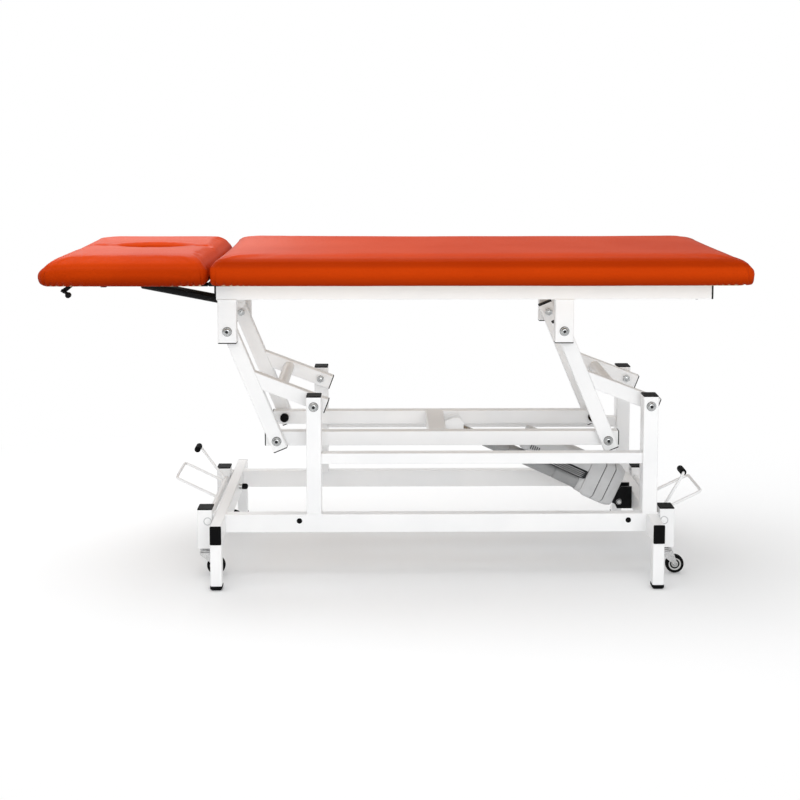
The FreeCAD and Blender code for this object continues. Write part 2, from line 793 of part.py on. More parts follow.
def actuator_bracket():
    """Two black ears on the foot cross tube and the pin that holds the actuator's rear eye."""
    wall = f"({FOOT_CROSS_X} - size.frame_wide / 2 - size.actuator_pin_x)"
    low = f"({FRAME_BOTTOM} - size.actuator_pin_z)"
    nose = "(size.actuator_pin_radius * 2.4)"
    points = [
        (wall, low),
        (wall, "size.bracket_top"),
        (f"{wall} * 0.2", "size.bracket_top"),
        (f"-{nose} * 0.4", "size.bracket_top * 0.72"),
        (f"-{nose}", f"{nose} * 0.5"),
        (f"-{nose}", f"-{nose} * 0.4"),
        (f"-{nose} * 0.4", low),
    ]
    y = "-(size.bracket_gap / 2 + size.bracket_thick / 2)"
    bore = "size.actuator_pin_radius + size.pin_slack"
    plate = ear("bracket_ear", points, "size.bracket_thick", (bore,))
    place(plate, "size.actuator_pin_x", y, "size.actuator_pin_z")
    reach = "(size.bracket_gap / 2 + size.bracket_thick + size.washer_thick)"
    pin = new_body("rear_pin")
    profile = sketch_on(pin, "XY_Plane")
    head = "size.actuator_pin_radius * 1.5"
    outline(profile, [
        (f"-{reach} - size.washer_thick", "0"),
        (f"-{reach} - size.washer_thick", head),
        (f"-{reach}", head),
        (f"-{reach}", "size.actuator_pin_radius"),
        (reach, "size.actuator_pin_radius"),
        (reach, head),
        (f"{reach} + size.washer_thick", head),
        (f"{reach} + size.washer_thick", "0"),
    ])
    revolve(profile)
    place(pin, "size.actuator_pin_x", "0", "size.actuator_pin_z", "90", "Z")
    group("actuator_bracket", both_sides([plate]) + [pin])


# Bell cranks

def crank(end):
    """One pair of welded levers and rockers with the torsion tube between them.

    Every piece is placed from the crank's own pivot on the posts.
    """
    x = PIVOT_X[end]
    lean = "(90 - size.lever_tilt)"
    lever_span = "(size.lever_upper + size.lever_lower)"
    lever = tube(
        f"lever_{end}", f"{lever_span} + 2 * size.lever_end", "size.arm_wide", "size.arm_high",
        before="size.lever_end", pivots=[("0", "0"), (lever_span, "0")],
    )
    place(lever, f"{x} + {TOP_DX}", f"-{ARM_Y}", TOP_PIVOT_Z, lean)
    group(f"{end}_crank_levers", both_sides([lever]))

    rocker = tube(
        f"rocker_{end}", "size.rocker_length + size.rocker_end", "size.arm_wide", "size.arm_high",
        before="size.rocker_length", pivots=[("0", "0")],
    )
    mitre = sketch_on(rocker, "XZ_Plane")
    meet = "((size.lever_tilt + size.rocker_slope) * 1deg)"
    past = "size.arm_high"

    def face_at(height):
        """Where the lever's face crosses a height of the rocker's own frame."""
        return f"(-size.rocker_length + (size.arm_high / 2 - ({height}) * sin({meet})) / cos({meet}))"

    far_end = f"-(size.rocker_length + 2 * {past})"
    outline(mitre, [(far_end, f"-{past}"), (face_at(f"-{past}"), f"-{past}"),
                    (face_at(past), past), (far_end, past)])
    pocket(mitre)
    place(rocker, x, f"-{ARM_Y}", "size.pivot_height", "size.rocker_slope")
    group(f"{end}_crank_rockers", both_sides([rocker]))

    torsion = new_body(f"torsion_{end}")
    ring = sketch_on(torsion, "XZ_Plane")
    circle(ring, "size.torsion_radius")
    circle(ring, "size.torsion_radius - size.tube_wall")
    pad(ring, f"2 * {ARM_INNER}", symmetric=True)
    torsion_x = f"{x} - size.torsion_reach * cos(size.rocker_slope * 1deg)"
    torsion_z = "size.pivot_height + size.torsion_reach * sin(size.rocker_slope * 1deg)"
    node(f"{end}_crank_torsion_tube", place(torsion, torsion_x, "0", torsion_z))

    plugs = []
    for name, turn, at_x, at_z in (
        ("top", f"{lean} + 180", f"{x} + {TOP_DX} - size.lever_end * cos({lean} * 1deg)",
         f"{TOP_PIVOT_Z} + size.lever_end * sin({lean} * 1deg)"),
        ("low", lean, f"{x} + {LOW_DX} + size.lever_end * cos({lean} * 1deg)",
         f"{LOW_PIVOT_Z} - size.lever_end * sin({lean} * 1deg)"),
        ("rocker", "size.rocker_slope", f"{x} + size.rocker_end * cos(size.rocker_slope * 1deg)",
         "size.pivot_height - size.rocker_end * sin(size.rocker_slope * 1deg)"),
    ):
        cover = plug(f"{name}_plug_{end}", "size.arm_wide", "size.arm_high")
        plugs.append(place(cover, at_x, f"-{ARM_Y}", at_z, turn))
    cap = nut_cap(f"nut_cap_{end}")
    plugs.append(place(cap, f"{x} + {LOW_DX}", f"-{LINK_INNER}", LOW_PIVOT_Z, "90", "Z"))
    group(f"{end}_crank_plugs", both_sides(plugs))

    bolts = []
    top_grip = "(size.frame_wide + size.washer_thick + size.arm_wide)"
    low_grip = "(size.arm_wide + size.washer_thick + size.arm_wide)"
    for name, dx, z, outer, inner, grip in (
        ("top", TOP_DX, TOP_PIVOT_Z, HANGER_OUTER, ARM_INNER, top_grip),
        ("low", LOW_DX, LOW_PIVOT_Z, ARM_OUTER, LINK_INNER, low_grip),
    ):
        bolt = screw(f"{name}_bolt_{end}", grip)
        bolts.append(place(bolt, f"{x} + {dx}", f"-{outer}", z, "90", "Z"))
        holder = nut(f"{name}_nut_{end}")
        bolts.append(place(holder, f"{x} + {dx}", f"-{inner}", z, "90", "Z"))
    group(f"{end}_crank_bolts", both_sides(bolts))


# Link frame

def link_frame():
    """Level frame that ties the two cranks together and takes the actuator's push."""
    bar = tube(
        "link", "size.pivot_spacing + 2 * size.link_end", "size.arm_wide", "size.arm_high",
        before="size.link_end", pivots=[("0", "0"), ("size.pivot_spacing", "0")],
    )
    place(bar, HEAD_C_X, f"-{LINK_Y}", LOW_PIVOT_Z)
    group("link_tubes", both_sides([bar]))

    cross_x = f"({HEAD_C_X} + size.link_cross_reach)"
    cross = tube("link_cross", f"2 * {LINK_INNER}", "size.link_cross_wide", "size.arm_high")
    node("link_cross_tube", place(cross, cross_x, f"-{LINK_INNER}", LOW_PIVOT_Z, "90", "Z"))

    plugs = []
    for name, x, turn in (
        ("head", f"{HEAD_C_X} - size.link_end", "180"),
        ("foot", f"{HEAD_C_X} + size.pivot_spacing + size.link_end", "0"),
    ):
        cover = plug(f"link_plug_{name}", "size.arm_wide", "size.arm_high")
        plugs.append(place(cover, x, f"-{LINK_Y}", LOW_PIVOT_Z, turn))
    group("link_end_plugs", both_sides(plugs))

    wall = "(size.link_cross_wide / 2 - size.rod_pin_reach)"
    points = [
        (wall, "-size.arm_high / 2"),
        ("-size.ear_nose * 0.2", "-size.ear_half"),
        ("size.ear_nose * 0.5", "-size.ear_half"),
        ("size.ear_nose", "-size.ear_half * 0.5"),
        ("size.ear_nose", "size.ear_half * 0.5"),
        ("size.ear_nose * 0.5", "size.ear_half"),
        ("-size.ear_nose * 0.2", "size.ear_half"),
        (wall, "size.arm_high / 2"),
    ]
    plate = ear("rod_ear", points, "size.ear_thick")
    place(plate, ROD_PIN_X, "-(size.ear_gap / 2 + size.ear_thick / 2)", LOW_PIVOT_Z)
    group("rod_clevis", both_sides([plate]))


# Lifting actuator, drawn with its rear pin at the origin and its rod towards -X

def turned_along(body, points):
    """Solid of revolution about X from pairs of place and radius."""
    profile = sketch_on(body, "XY_Plane")
    outline(profile, points)
    revolve(profile)
    return body


def actuator():
    """Screw-jack actuator: barrel, motor, gear housing and rod."""
    def along_line(piece):
        return place(piece, "size.actuator_pin_x", "0", "size.actuator_pin_z", ROD_SLOPE)

    front = "(-(size.barrel_front + size.nose_length))"
    bore = "(size.rod_radius + size.rod_bore_slack)"
    barrel = turned_along(new_body("barrel"), [
        (front, bore),
        (front, "size.nose_radius - 2"),
        (f"{front} + 2", "size.nose_radius"),
        ("-size.barrel_front", "size.nose_radius"),
        ("-size.barrel_front", "size.barrel_radius"),
        ("-size.gear_front", "size.barrel_radius"),
        ("-size.gear_front", bore),
    ])
    node("actuator_barrel", along_line(barrel))

    motor = new_body("motor")
    profile = sketch_on(motor, "YZ_Plane", "-size.motor_front")
    rounded_outline(profile, "-size.motor_half", "size.motor_half", "size.motor_low", "size.motor_top",
                    "size.motor_round")
    can = pad(profile, "size.motor_front - size.gear_front")
    round_edges(can, "size.motor_round * 0.8", all_at("x", -number("size.motor_front")))
    node("actuator_motor", along_line(motor))

    gear = new_body("gear_case")
    side = sketch_on(gear, "XZ_Plane")
    rounded_outline(side, "-size.gear_front", "-size.gear_rear", "-size.gear_low", "size.gear_top",
                    "size.gear_round")
    shell = pad(side, "2 * size.gear_half", symmetric=True)
    shell = round_edges(
        shell, "size.gear_round * 0.6",
        lambda edge: all_at("y", -number("size.gear_half"))(edge) or all_at("y", number("size.gear_half"))(edge),
    )
    for share in (0.44, 0.68):
        seam_x = f"(-size.gear_front + {share} * (size.gear_front - size.gear_rear))"
        ring = sketch_on(gear, "YZ_Plane", f"{seam_x} - size.seam_wide / 2")
        reach = "(size.gear_half + 5)"
        box_outline(ring, f"-{reach}", reach, "-(size.gear_low + 5)", "(size.gear_top + 5)")
        rounded_outline(ring, "-(size.gear_half - size.seam_deep)", "(size.gear_half - size.seam_deep)",
                        "-(size.gear_low - size.seam_deep)", "(size.gear_top - size.seam_deep)",
                        "size.gear_round * 0.6")
        pocket(ring, "size.seam_wide", backwards=True)
    tail = sketch_on(gear, "XZ_Plane")
    box_outline(tail, "-(size.gear_rear + size.gear_round)", "0", "-size.rear_eye_radius",
                "size.rear_eye_radius")
    pad(tail, "2 * size.rear_eye_half", symmetric=True)
    knuckle = sketch_on(gear, "XZ_Plane")
    circle(knuckle, "size.rear_eye_radius")
    pad(knuckle, "2 * size.rear_eye_half", symmetric=True)
    bolt_holes(gear, [("0", "0")], "size.actuator_pin_radius + size.pin_slack")
    node("actuator_gear_housing", along_line(gear))

    pin = f"(-{ROD_LENGTH})"
    rod = new_body("rod")
    stem = sketch_on(rod, "YZ_Plane", f"{pin} + size.rod_eye_radius * 0.8")
    circle(stem, "size.rod_radius")
    pad(stem, f"{ROD_LENGTH} - size.rod_eye_radius * 0.8 - size.rod_inside")
    eye = sketch_on(rod, "XZ_Plane")
    circle(eye, "size.rod_eye_radius", pin, "0")
    pad(eye, "1.6 * size.rod_radius", symmetric=True)
    cross_pin = sketch_on(rod, "XZ_Plane")
    circle(cross_pin, "size.actuator_pin_radius", pin, "0")
    pad(cross_pin, "size.ear_gap - 2 * size.soft_gap", symmetric=True)
    node("actuator_rod", along_line(rod))


# Top frame

def top_frame():
    """Rails under the padding, the hangers that reach down to the cranks, and cross tubes."""
    start = f"({HEAD_A_X} - size.rail_head_reach)"
    length = "(size.rail_head_reach + size.pivot_spacing + size.rail_foot_reach)"
    height = f"({RAIL_BOTTOM} + size.frame_high / 2)"
    rail = tube("top_rail", length, "size.frame_wide", "size.frame_high")
    place(rail, start, f"-{HANGER_Y}", height)
    group("top_rails", both_sides([rail]))

    hangers = []
    plugs = []
    for end, x in (("head", HEAD_A_X), ("foot", f"({HEAD_A_X} + size.pivot_spacing)")):
        strut = tube(
            f"hanger_{end}", "size.hanger_end + size.hanger_rise", "size.frame_wide", "size.frame_high",
            pivots=[("size.hanger_end", "0")],
        )
        hangers.append(place(strut, x, f"-{HANGER_Y}", f"{TOP_PIVOT_Z} - size.hanger_end", "270"))
        cover = plug(f"hanger_plug_{end}", "size.frame_wide", "size.frame_high")
        plugs.append(place(cover, x, f"-{HANGER_Y}", f"{TOP_PIVOT_Z} - size.hanger_end", "90"))
    for end, x, turn in (("head", start, "180"), ("foot", f"{start} + {length}", "0")):
        cover = plug(f"rail_end_{end}", "size.frame_wide", "size.frame_high", "size.rail_cap")
        plugs.append(place(cover, x, f"-{HANGER_Y}", height, turn))
    group("hangers", both_sides(hangers))
    group("top_end_plugs", both_sides(plugs))

    crosses = []
    foot_x = f"({start} + {length} - size.frame_wide)"
    middle_x = f"({SPRING_FOOT_X} + size.middle_cross_reach)"
    for name, x in (("spring", SPRING_FOOT_X), ("middle", middle_x), ("foot", foot_x)):
        bar = tube(f"top_cross_{name}", f"2 * {HANGER_INNER}", "size.frame_wide", "size.frame_high")
        crosses.append(place(bar, x, f"-{HANGER_INNER}", height, "90", "Z"))
    group("top_cross_tubes", crosses)

    drop = "size.spring_foot_drop"
    half = "size.spring_ear_half"
    points = [
        (f"-{half}", drop), (f"-{half}", "0"), (f"-{half} * 0.6", f"-{half} * 0.75"),
        (f"{half} * 0.6", f"-{half} * 0.75"), (half, "0"), (half, drop),
    ]
    hole = ("size.spring_pin_radius + size.pin_slack",)
    plate = ear("spring_foot_ear", points, "size.spring_ear_thick", hole)
    side = "(size.spring_ear_gap / 2 + size.spring_ear_thick / 2)"
    place(plate, SPRING_FOOT_X, f"-{side}", SPRING_FOOT_Z)
    pin = new_body("spring_foot_pin")
    ring = sketch_on(pin, "XZ_Plane")
    circle(ring, "size.spring_pin_radius")
    pad(ring, f"2 * {side} + 2 * size.spring_ear_thick", symmetric=True)
    place(pin, SPRING_FOOT_X, "0", SPRING_FOOT_Z)
    group("spring_foot_clevis", both_sides([plate]) + [pin])


# Padding

def cushion(name, length, far_x):
    """Upholstered pad that wraps round its board: local X from 0, bottom at local Z 0."""
    body = new_body(name)
    plan = sketch_on(body, "XY_Plane")
    rounded_outline(plan, "0", length, "-size.pad_half", "size.pad_half", "size.pad_corner")
    block = pad(plan, "size.pad_thick")
    block = round_edges(block, "size.pad_top_round", all_at("z", number("size.pad_thick")))
    block = round_edges(block, "size.pad_low_round", all_at("z", 0))
    recess = sketch_on(body, "XY_Plane")
    inset = "(size.board_inset - size.soft_gap)"
    box_outline(recess, inset, f"({length}) - {inset}", f"-(size.pad_half - {inset})",
                f"(size.pad_half - {inset})")
    pocket(recess, "size.board_thick + size.soft_gap", backwards=True)
    return place(body, far_x, "0", PAD_BOTTOM)


def board(name, length, far_x):
    """Wooden board inside a pad's recess."""
    body = new_body(name)
    plan = sketch_on(body, "XY_Plane")
    box_outline(plan, "size.board_inset", f"({length}) - size.board_inset",
                "-(size.pad_half - size.board_inset)", "(size.pad_half - size.board_inset)")
    pad(plan, "size.board_thick")
    return place(body, far_x, "0", PAD_BOTTOM)


def lens(name, centre_x, half_length, half_width):
    """Pointed oval column: what two round columns share."""
    radius = f"((({half_length}) ^ 2 + ({half_width}) ^ 2) / 2 / ({half_width}))"
    columns = []
    for way in (-1, 1):
        column = cylinder(f"{name}_{'near' if way < 0 else 'far'}", radius, "3 * size.pad_thick")
        shift = f"{way} * ({radius} - ({half_width}))"
        columns.append(place(column, centre_x, shift, f"{PAD_BOTTOM} - size.pad_thick"))
    shared = doc.addObject("Part::MultiCommon", name)
    shared.Shapes = columns
    return shared


def padding():
    """Main pad and headrest, the headrest with its face hole."""
    main_x = f"({HINGE_X} + size.section_gap / 2)"
    rest_x = f"({HINGE_X} - size.section_gap / 2 - size.rest_length)"
    node("main_cushion", cushion("main_pad", "size.main_length", main_x))
    node("main_board", board("main_base", "size.main_length", main_x))
    hole_x = f"({HINGE_X} - size.hole_centre)"
    opening = lens("face_hole", hole_x, "size.hole_half_length", "size.hole_half_width")
    wider = lens("board_hole", hole_x, "size.hole_half_length + size.hole_rim",
                 "size.hole_half_width + size.hole_rim")
    pad_solid = cushion("rest_pad", "size.rest_length", rest_x)
    node("headrest_cushion", cut("holed_pad", pad_solid, opening))
    base = board("rest_base", "size.rest_length", rest_x)
    node("headrest_board", cut("holed_board", base, wider))


def leaf(name, way, knuckles):
    """Hinge leaf with its knuckles: way is 1 towards the main pad and -1 towards the headrest."""
    body = new_body(name)
    side = sketch_on(body, "XZ_Plane")
    low = "-size.knuckle_radius"
    high = "(size.leaf_thick - size.knuckle_radius)"
    far = f"{way} * size.leaf_length"
    edges = ("0", far) if way > 0 else (far, "0")
    box_outline(side, *edges, low, high)
    pad(side, "size.leaf_wide", symmetric=True)
    third = "size.leaf_wide / 3"
    clear = sketch_on(body, "XY_Plane", "-2 * size.knuckle_radius")
    others = [index for index in (-1, 0, 1) if index not in knuckles]
    for index in others:
        low_y = f"({index} - 0.5) * {third} - size.knuckle_slack"
        high_y = f"({index} + 0.5) * {third} + size.knuckle_slack"
        reach = "(size.knuckle_radius + size.knuckle_slack)"
        box_outline(clear, f"-{reach}", reach, low_y, high_y)
    pocket(clear, "4 * size.knuckle_radius", backwards=True)
    for index in knuckles:
        barrel = sketch_on(body, "XZ_Plane", f"-({index} * {third})")
        circle(barrel, "size.knuckle_radius")
        pad(barrel, third, symmetric=True)
    bolt_holes(body, [("0", "0")], "size.hinge_pin_radius + size.pin_slack")
    return place(body, HINGE_X, "-size.leaf_side", HINGE_Z)


def headrest_hinges():
    """Two steel hinges across the gap, their pins, and their screws into the boards."""
    main_leaf = leaf("main_leaf", 1, (-1, 1))
    rest_leaf = leaf("rest_leaf", -1, (0,))
    pin = new_body("hinge_pin")
    rod = sketch_on(pin, "XZ_Plane")
    circle(rod, "size.hinge_pin_radius")
    pad(rod, "size.leaf_wide", symmetric=True)
    place(pin, HINGE_X, "-size.leaf_side", HINGE_Z)
    group("frame_hinge_leaves", both_sides([main_leaf, pin]))
    group("headrest_hinge_leaves", both_sides([rest_leaf]))


def gas_spring():
    """Gas spring that holds the headrest, drawn from its foot towards -X."""
    def along_line(piece):
        return place(piece, SPRING_FOOT_X, "0", SPRING_FOOT_Z, SPRING_SLOPE)

    eye_radius = "(2 * size.spring_pin_radius)"
    neck = "size.spring_radius * 0.55"
    bore = "(size.spring_rod_radius + size.pin_slack)"
    barrel = turned_along(new_body("spring_barrel"), [
        (f"-size.spring_barrel - {eye_radius}", bore),
        (f"-size.spring_barrel - {eye_radius}", "size.spring_radius * 0.8"),
        (f"-size.spring_barrel - {eye_radius} + 3", "size.spring_radius"),
        (f"-{eye_radius} - size.spring_shoulder", "size.spring_radius"),
        (f"-{eye_radius} - size.spring_shoulder / 2", neck),
        ("0", neck),
        ("0", "0"),
        (f"-{eye_radius} - size.spring_shoulder * 1.3", "0"),
        (f"-{eye_radius} - size.spring_shoulder * 1.3", bore),
    ])
    eye = sketch_on(barrel, "XZ_Plane")
    circle(eye, eye_radius)
    pad(eye, "size.spring_ear_gap - 2 * size.slider_slack", symmetric=True)
    bolt_holes(barrel, [("0", "0")], "size.spring_pin_radius + size.pin_slack")
    node("gas_spring_cylinder", along_line(barrel))

    rod = turned_along(new_body("spring_rod"), [
        (f"-{SPRING_LENGTH}", "0"),
        (f"-{SPRING_LENGTH}", "size.spring_rod_radius"),
        ("-size.spring_barrel * 0.45", "size.spring_rod_radius"),
        ("-size.spring_barrel * 0.45", "0"),
    ])
    tip = sketch_on(rod, "XZ_Plane")
    circle(tip, eye_radius, f"-{SPRING_LENGTH}", "0")
    pad(tip, "size.spring_ear_gap / 2", symmetric=True)
    cross_pin = sketch_on(rod, "XZ_Plane")
    circle(cross_pin, "size.spring_pin_radius", f"-{SPRING_LENGTH}", "0")
    pad(cross_pin, "size.spring_ear_gap - 2 * size.soft_gap", symmetric=True)
    node("gas_spring_rod", along_line(rod))

    half = "size.spring_ear_half"
    top = f"({PAD_BOTTOM} - {SPRING_EYE_Z})"
    points = [
        (f"-{half}", f"-{half}"), (half, f"-{half}"), (f"{half} * 1.6", top), (f"-{half} * 1.6", top),
    ]
    plate = ear("spring_eye_ear", points, "size.spring_ear_thick")
    place(plate, SPRING_EYE_X, "-(size.spring_ear_gap / 2 + size.spring_ear_thick / 2)", SPRING_EYE_Z)
    group("spring_eye_bracket", both_sides([plate]))


def release_lever():
    """Hand lever under the headrest that frees the gas spring, and the clip of its cable."""
    x = f"({HINGE_X} - size.release_reach)"
    z = f"({PAD_BOTTOM} - size.release_drop)"
    arm = new_body("release_arm")
    shape = sketch_on(arm, "XZ_Plane")
    half = "size.release_radius"
    outline(shape, [
        (f"-{half} * 1.5", f"-{half} * 0.4"), (f"-{half} * 0.4", f"-{half} * 1.5"),
        (f"{half}", f"-{half} * 1.2"), ("size.release_run", "size.release_drop"),
        ("size.release_run - 4 * size.release_radius", "size.release_drop"),
        (f"-{half} * 1.2", f"{half}"),
    ])
    circle(shape, "size.axle_radius + size.pin_slack")
    pad(shape, "size.release_plate", symmetric=True)
    arm_y = "-(size.release_side - size.release_plate / 2 - size.release_radius - size.soft_gap)"
    place(arm, x, arm_y, z)
    clip = new_body("cable_clip")
    block = sketch_on(clip, "XY_Plane")
    section(block, "2 * size.clip_side", "2 * size.clip_side")
    pad(block, "size.clip_side", backwards=True)
    place(clip, f"{HINGE_X} - size.clip_reach", "-size.release_side", PAD_BOTTOM)
    group("release_bracket", [arm, clip])

    lever = new_body("release_bar")
    stick = sketch_on(lever, "YZ_Plane", "-1.5 * size.release_radius")
    circle(stick, "size.release_radius")
    pad(stick, "size.release_length + 1.5 * size.release_radius")
    spindle = sketch_on(lever, "XZ_Plane")
    circle(spindle, "size.axle_radius")
    pad(spindle, "size.release_radius + size.release_plate + 2 * size.washer_thick", backwards=True)
    place(lever, x, "-size.release_side", z, "size.release_slope")

    knob = new_body("release_ball")
    ball = sketch_on(knob, "XY_Plane")
    size_of = "size.release_knob"
    outline(ball, [
        (f"-{size_of}", "0"), (f"-{size_of}", f"{size_of} * 0.6"), (f"-{size_of} * 0.6", size_of),
        (f"{size_of} * 0.6", size_of), (size_of, f"{size_of} * 0.6"), (size_of, "0"),
    ])
    revolve(ball)
    slope = "size.release_slope * 1deg"
    knob_x = f"{x} + size.release_length * cos({slope})"
    knob_z = f"{z} - size.release_length * sin({slope})"
    knob_y = f"-(size.release_side + size.release_radius + {size_of})"
    place(knob, knob_x, knob_y, knob_z, "90", "Z")
    group("release_lever", [lever, knob])


# Castor gear, drawn for the head end and turned half round for the foot end

TURN = {"head": "0", "foot": "180"}


def at_end(piece, end, x="0", y="0", z="0"):
    """Places a piece measured from a cross tube, turned half round at the foot end."""
    way = 1 if end == "head" else -1
    return place(piece, f"{CROSS_X[end]} + {way} * ({x})", f"{way} * ({y})", z, TURN[end], "Z")


def pedal(end):
    """Shaft through both housings with its cranks, foot loop and release rod."""
    shaft = new_body(f"shaft_{end}")
    bar = sketch_on(shaft, "XZ_Plane")
    circle(bar, "size.shaft_radius")
    pad(bar, "2 * (size.base_half + size.shaft_proud)", symmetric=True)
    pieces = [shaft]

    arm = "size.crank_arm"
    rest = "(size.crank_rest * 1deg)"
    pin_x = f"(-{arm} * cos{rest})"
    pin_z = f"({arm} * sin{rest})"
    for way in (-1, 1):
        web = sketch_on(shaft, "XZ_Plane", f"-({way} * {POST_Y} + size.slider_ear_thick / 2 + size.soft_gap)")
        thick = "size.crank_pin_radius * 1.3"
        outline(web, [
            ("0", f"{thick}"), ("0", f"-{thick}"),
            (pin_x, f"{pin_z} - {thick}"), (f"{pin_x} - {thick}", pin_z), (pin_x, f"{pin_z} + {thick}"),
        ])
        pad(web, "size.crank_thick", backwards=True)
        crank_pin = sketch_on(shaft, "XZ_Plane", f"-({way} * {POST_Y} - size.slider_ear_thick / 2)")
        circle(crank_pin, "size.crank_pin_radius", pin_x, pin_z)
        pad(crank_pin, "size.slider_ear_thick + size.crank_thick", backwards=True)

    def arm_rod(name, length, slope, y):
        stick = cylinder(name, "size.rod_wire", length)
        place(stick, "0", y, "0", f"270 + {slope}")
        return stick

    loop = [
        arm_rod(f"loop_inner_{end}", "size.loop_length", "size.loop_slope", "size.loop_inner"),
        arm_rod(f"loop_outer_{end}", "size.loop_length", "size.loop_slope", "size.loop_outer"),
        arm_rod(f"release_stick_{end}", "size.release_rod", f"size.{end}_rod_slope",
                "size.release_rod_side"),
    ]
    bar_piece = cylinder(f"loop_bar_{end}", "size.rod_wire",
                         "size.loop_outer - size.loop_inner + size.rod_wire")
    slope = "(size.loop_slope * 1deg)"
    place(bar_piece, f"-size.loop_length * cos{slope}", "size.loop_outer + size.rod_wire / 2",
          f"size.loop_length * sin{slope}", "90", "X")
    tip = f"(size.{end}_rod_slope * 1deg)"
    tip_x = f"(-size.release_rod * cos{tip})"
    tip_z = f"(size.release_rod * sin{tip})"
    spindle = cylinder(f"grip_spindle_{end}", "size.rod_wire",
                       "size.grip_length + size.rod_wire * 1.5 + size.washer_thick")
    place(spindle, tip_x, "size.release_rod_side + size.rod_wire / 2", tip_z, "90", "X")
    welded = doc.addObject("Part::MultiFuse", f"pedal_weldment_{end}")
    welded.Shapes = pieces + loop + [bar_piece, spindle]
    node(f"pedal_{end}", at_end(welded, end, f"-{SHAFT_OUT}", "0", "size.shaft_height"))

    grip = new_body(f"grip_{end}")
    sleeve = sketch_on(grip, "XY_Plane")
    inner = "(size.rod_wire + size.pin_slack)"
    outer = "size.grip_radius"
    outline(sleeve, [
        ("0", inner), ("0", f"{outer} * 0.8"), (f"{outer} * 0.2", outer),
        (f"size.grip_length - {outer} * 0.2", outer), ("size.grip_length", f"{outer} * 0.8"),
        ("size.grip_length", inner),
    ])
    revolve(sleeve)
    way = 1 if end == "head" else -1
    turn = "270" if end == "head" else "90"
    grip_y = "(size.release_rod_side - size.rod_wire - size.pin_slack)"
    place(grip, f"{CROSS_X[end]} + {way} * (-{SHAFT_OUT} + {tip_x})", f"{way} * {grip_y}",
          f"size.shaft_height + {tip_z}", turn, "Z")
    node(f"pedal_grip_{end}", grip)


def castor_stems(end):
    """Sliders inside the housings, moved by the shaft's cranks, with the stems the castors turn on."""
    pieces = []
    arm = "size.crank_arm"
    rest = "(size.crank_rest * 1deg)"
    pin_x = f"(size.shaft_inset - {arm} * cos{rest})"
    pin_z = f"(size.shaft_height + {arm} * sin{rest})"
    half_x = "(size.post_wide / 2 - size.tube_wall - size.slider_slack)"
    half_y = "(size.post_deep / 2 - size.tube_wall - size.slider_slack)"
    low = "(size.housing_bottom + size.slider_low)"
    top = f"({low} + size.slider_high)"
    for side, way in (("near", -1), ("far", 1)):
        body = new_body(f"stem_{end}_{side}")
        block = sketch_on(body, "XY_Plane", low)
        box_outline(block, f"-{half_x}", half_x, f"-{half_y}", half_y)
        pad(block, "size.slider_high")
        upright = sketch_on(body, "XZ_Plane")
        wide = "(size.crank_pin_radius * 1.9)"
        box_outline(upright, f"-{half_x}", f"{pin_x} + {wide}", f"{top} - 1",
                    f"{pin_z} + size.crank_pin_radius * 2")
        pad(upright, "size.slider_ear_thick", symmetric=True)
        slot = sketch_on(body, "XZ_Plane")
        gap = "(size.crank_pin_radius + size.slot_slack)"
        rounded_outline(slot, f"{pin_x} - {gap} - size.slot_extra / 2", f"{pin_x} + {gap} + size.slot_extra / 2",
                        f"{pin_z} - {gap}", f"{pin_z} + {gap}", f"{gap} * 0.98")
        pocket(slot)
        rod = sketch_on(body, "XY_Plane", low)
        circle(rod, "size.stem_radius")
        race_top = "(size.housing_bottom - size.race_gap)"
        bottom = f"({race_top} - size.race_high + size.soft_gap)"
        pad(rod, f"{low} - {bottom}", backwards=True)
        y = f"{way} * {POST_Y}"
        pieces.append(at_end(body, end, f"-{HOUSING_OUT}", y, "0"))
    group(f"castor_stems_{end}", pieces)


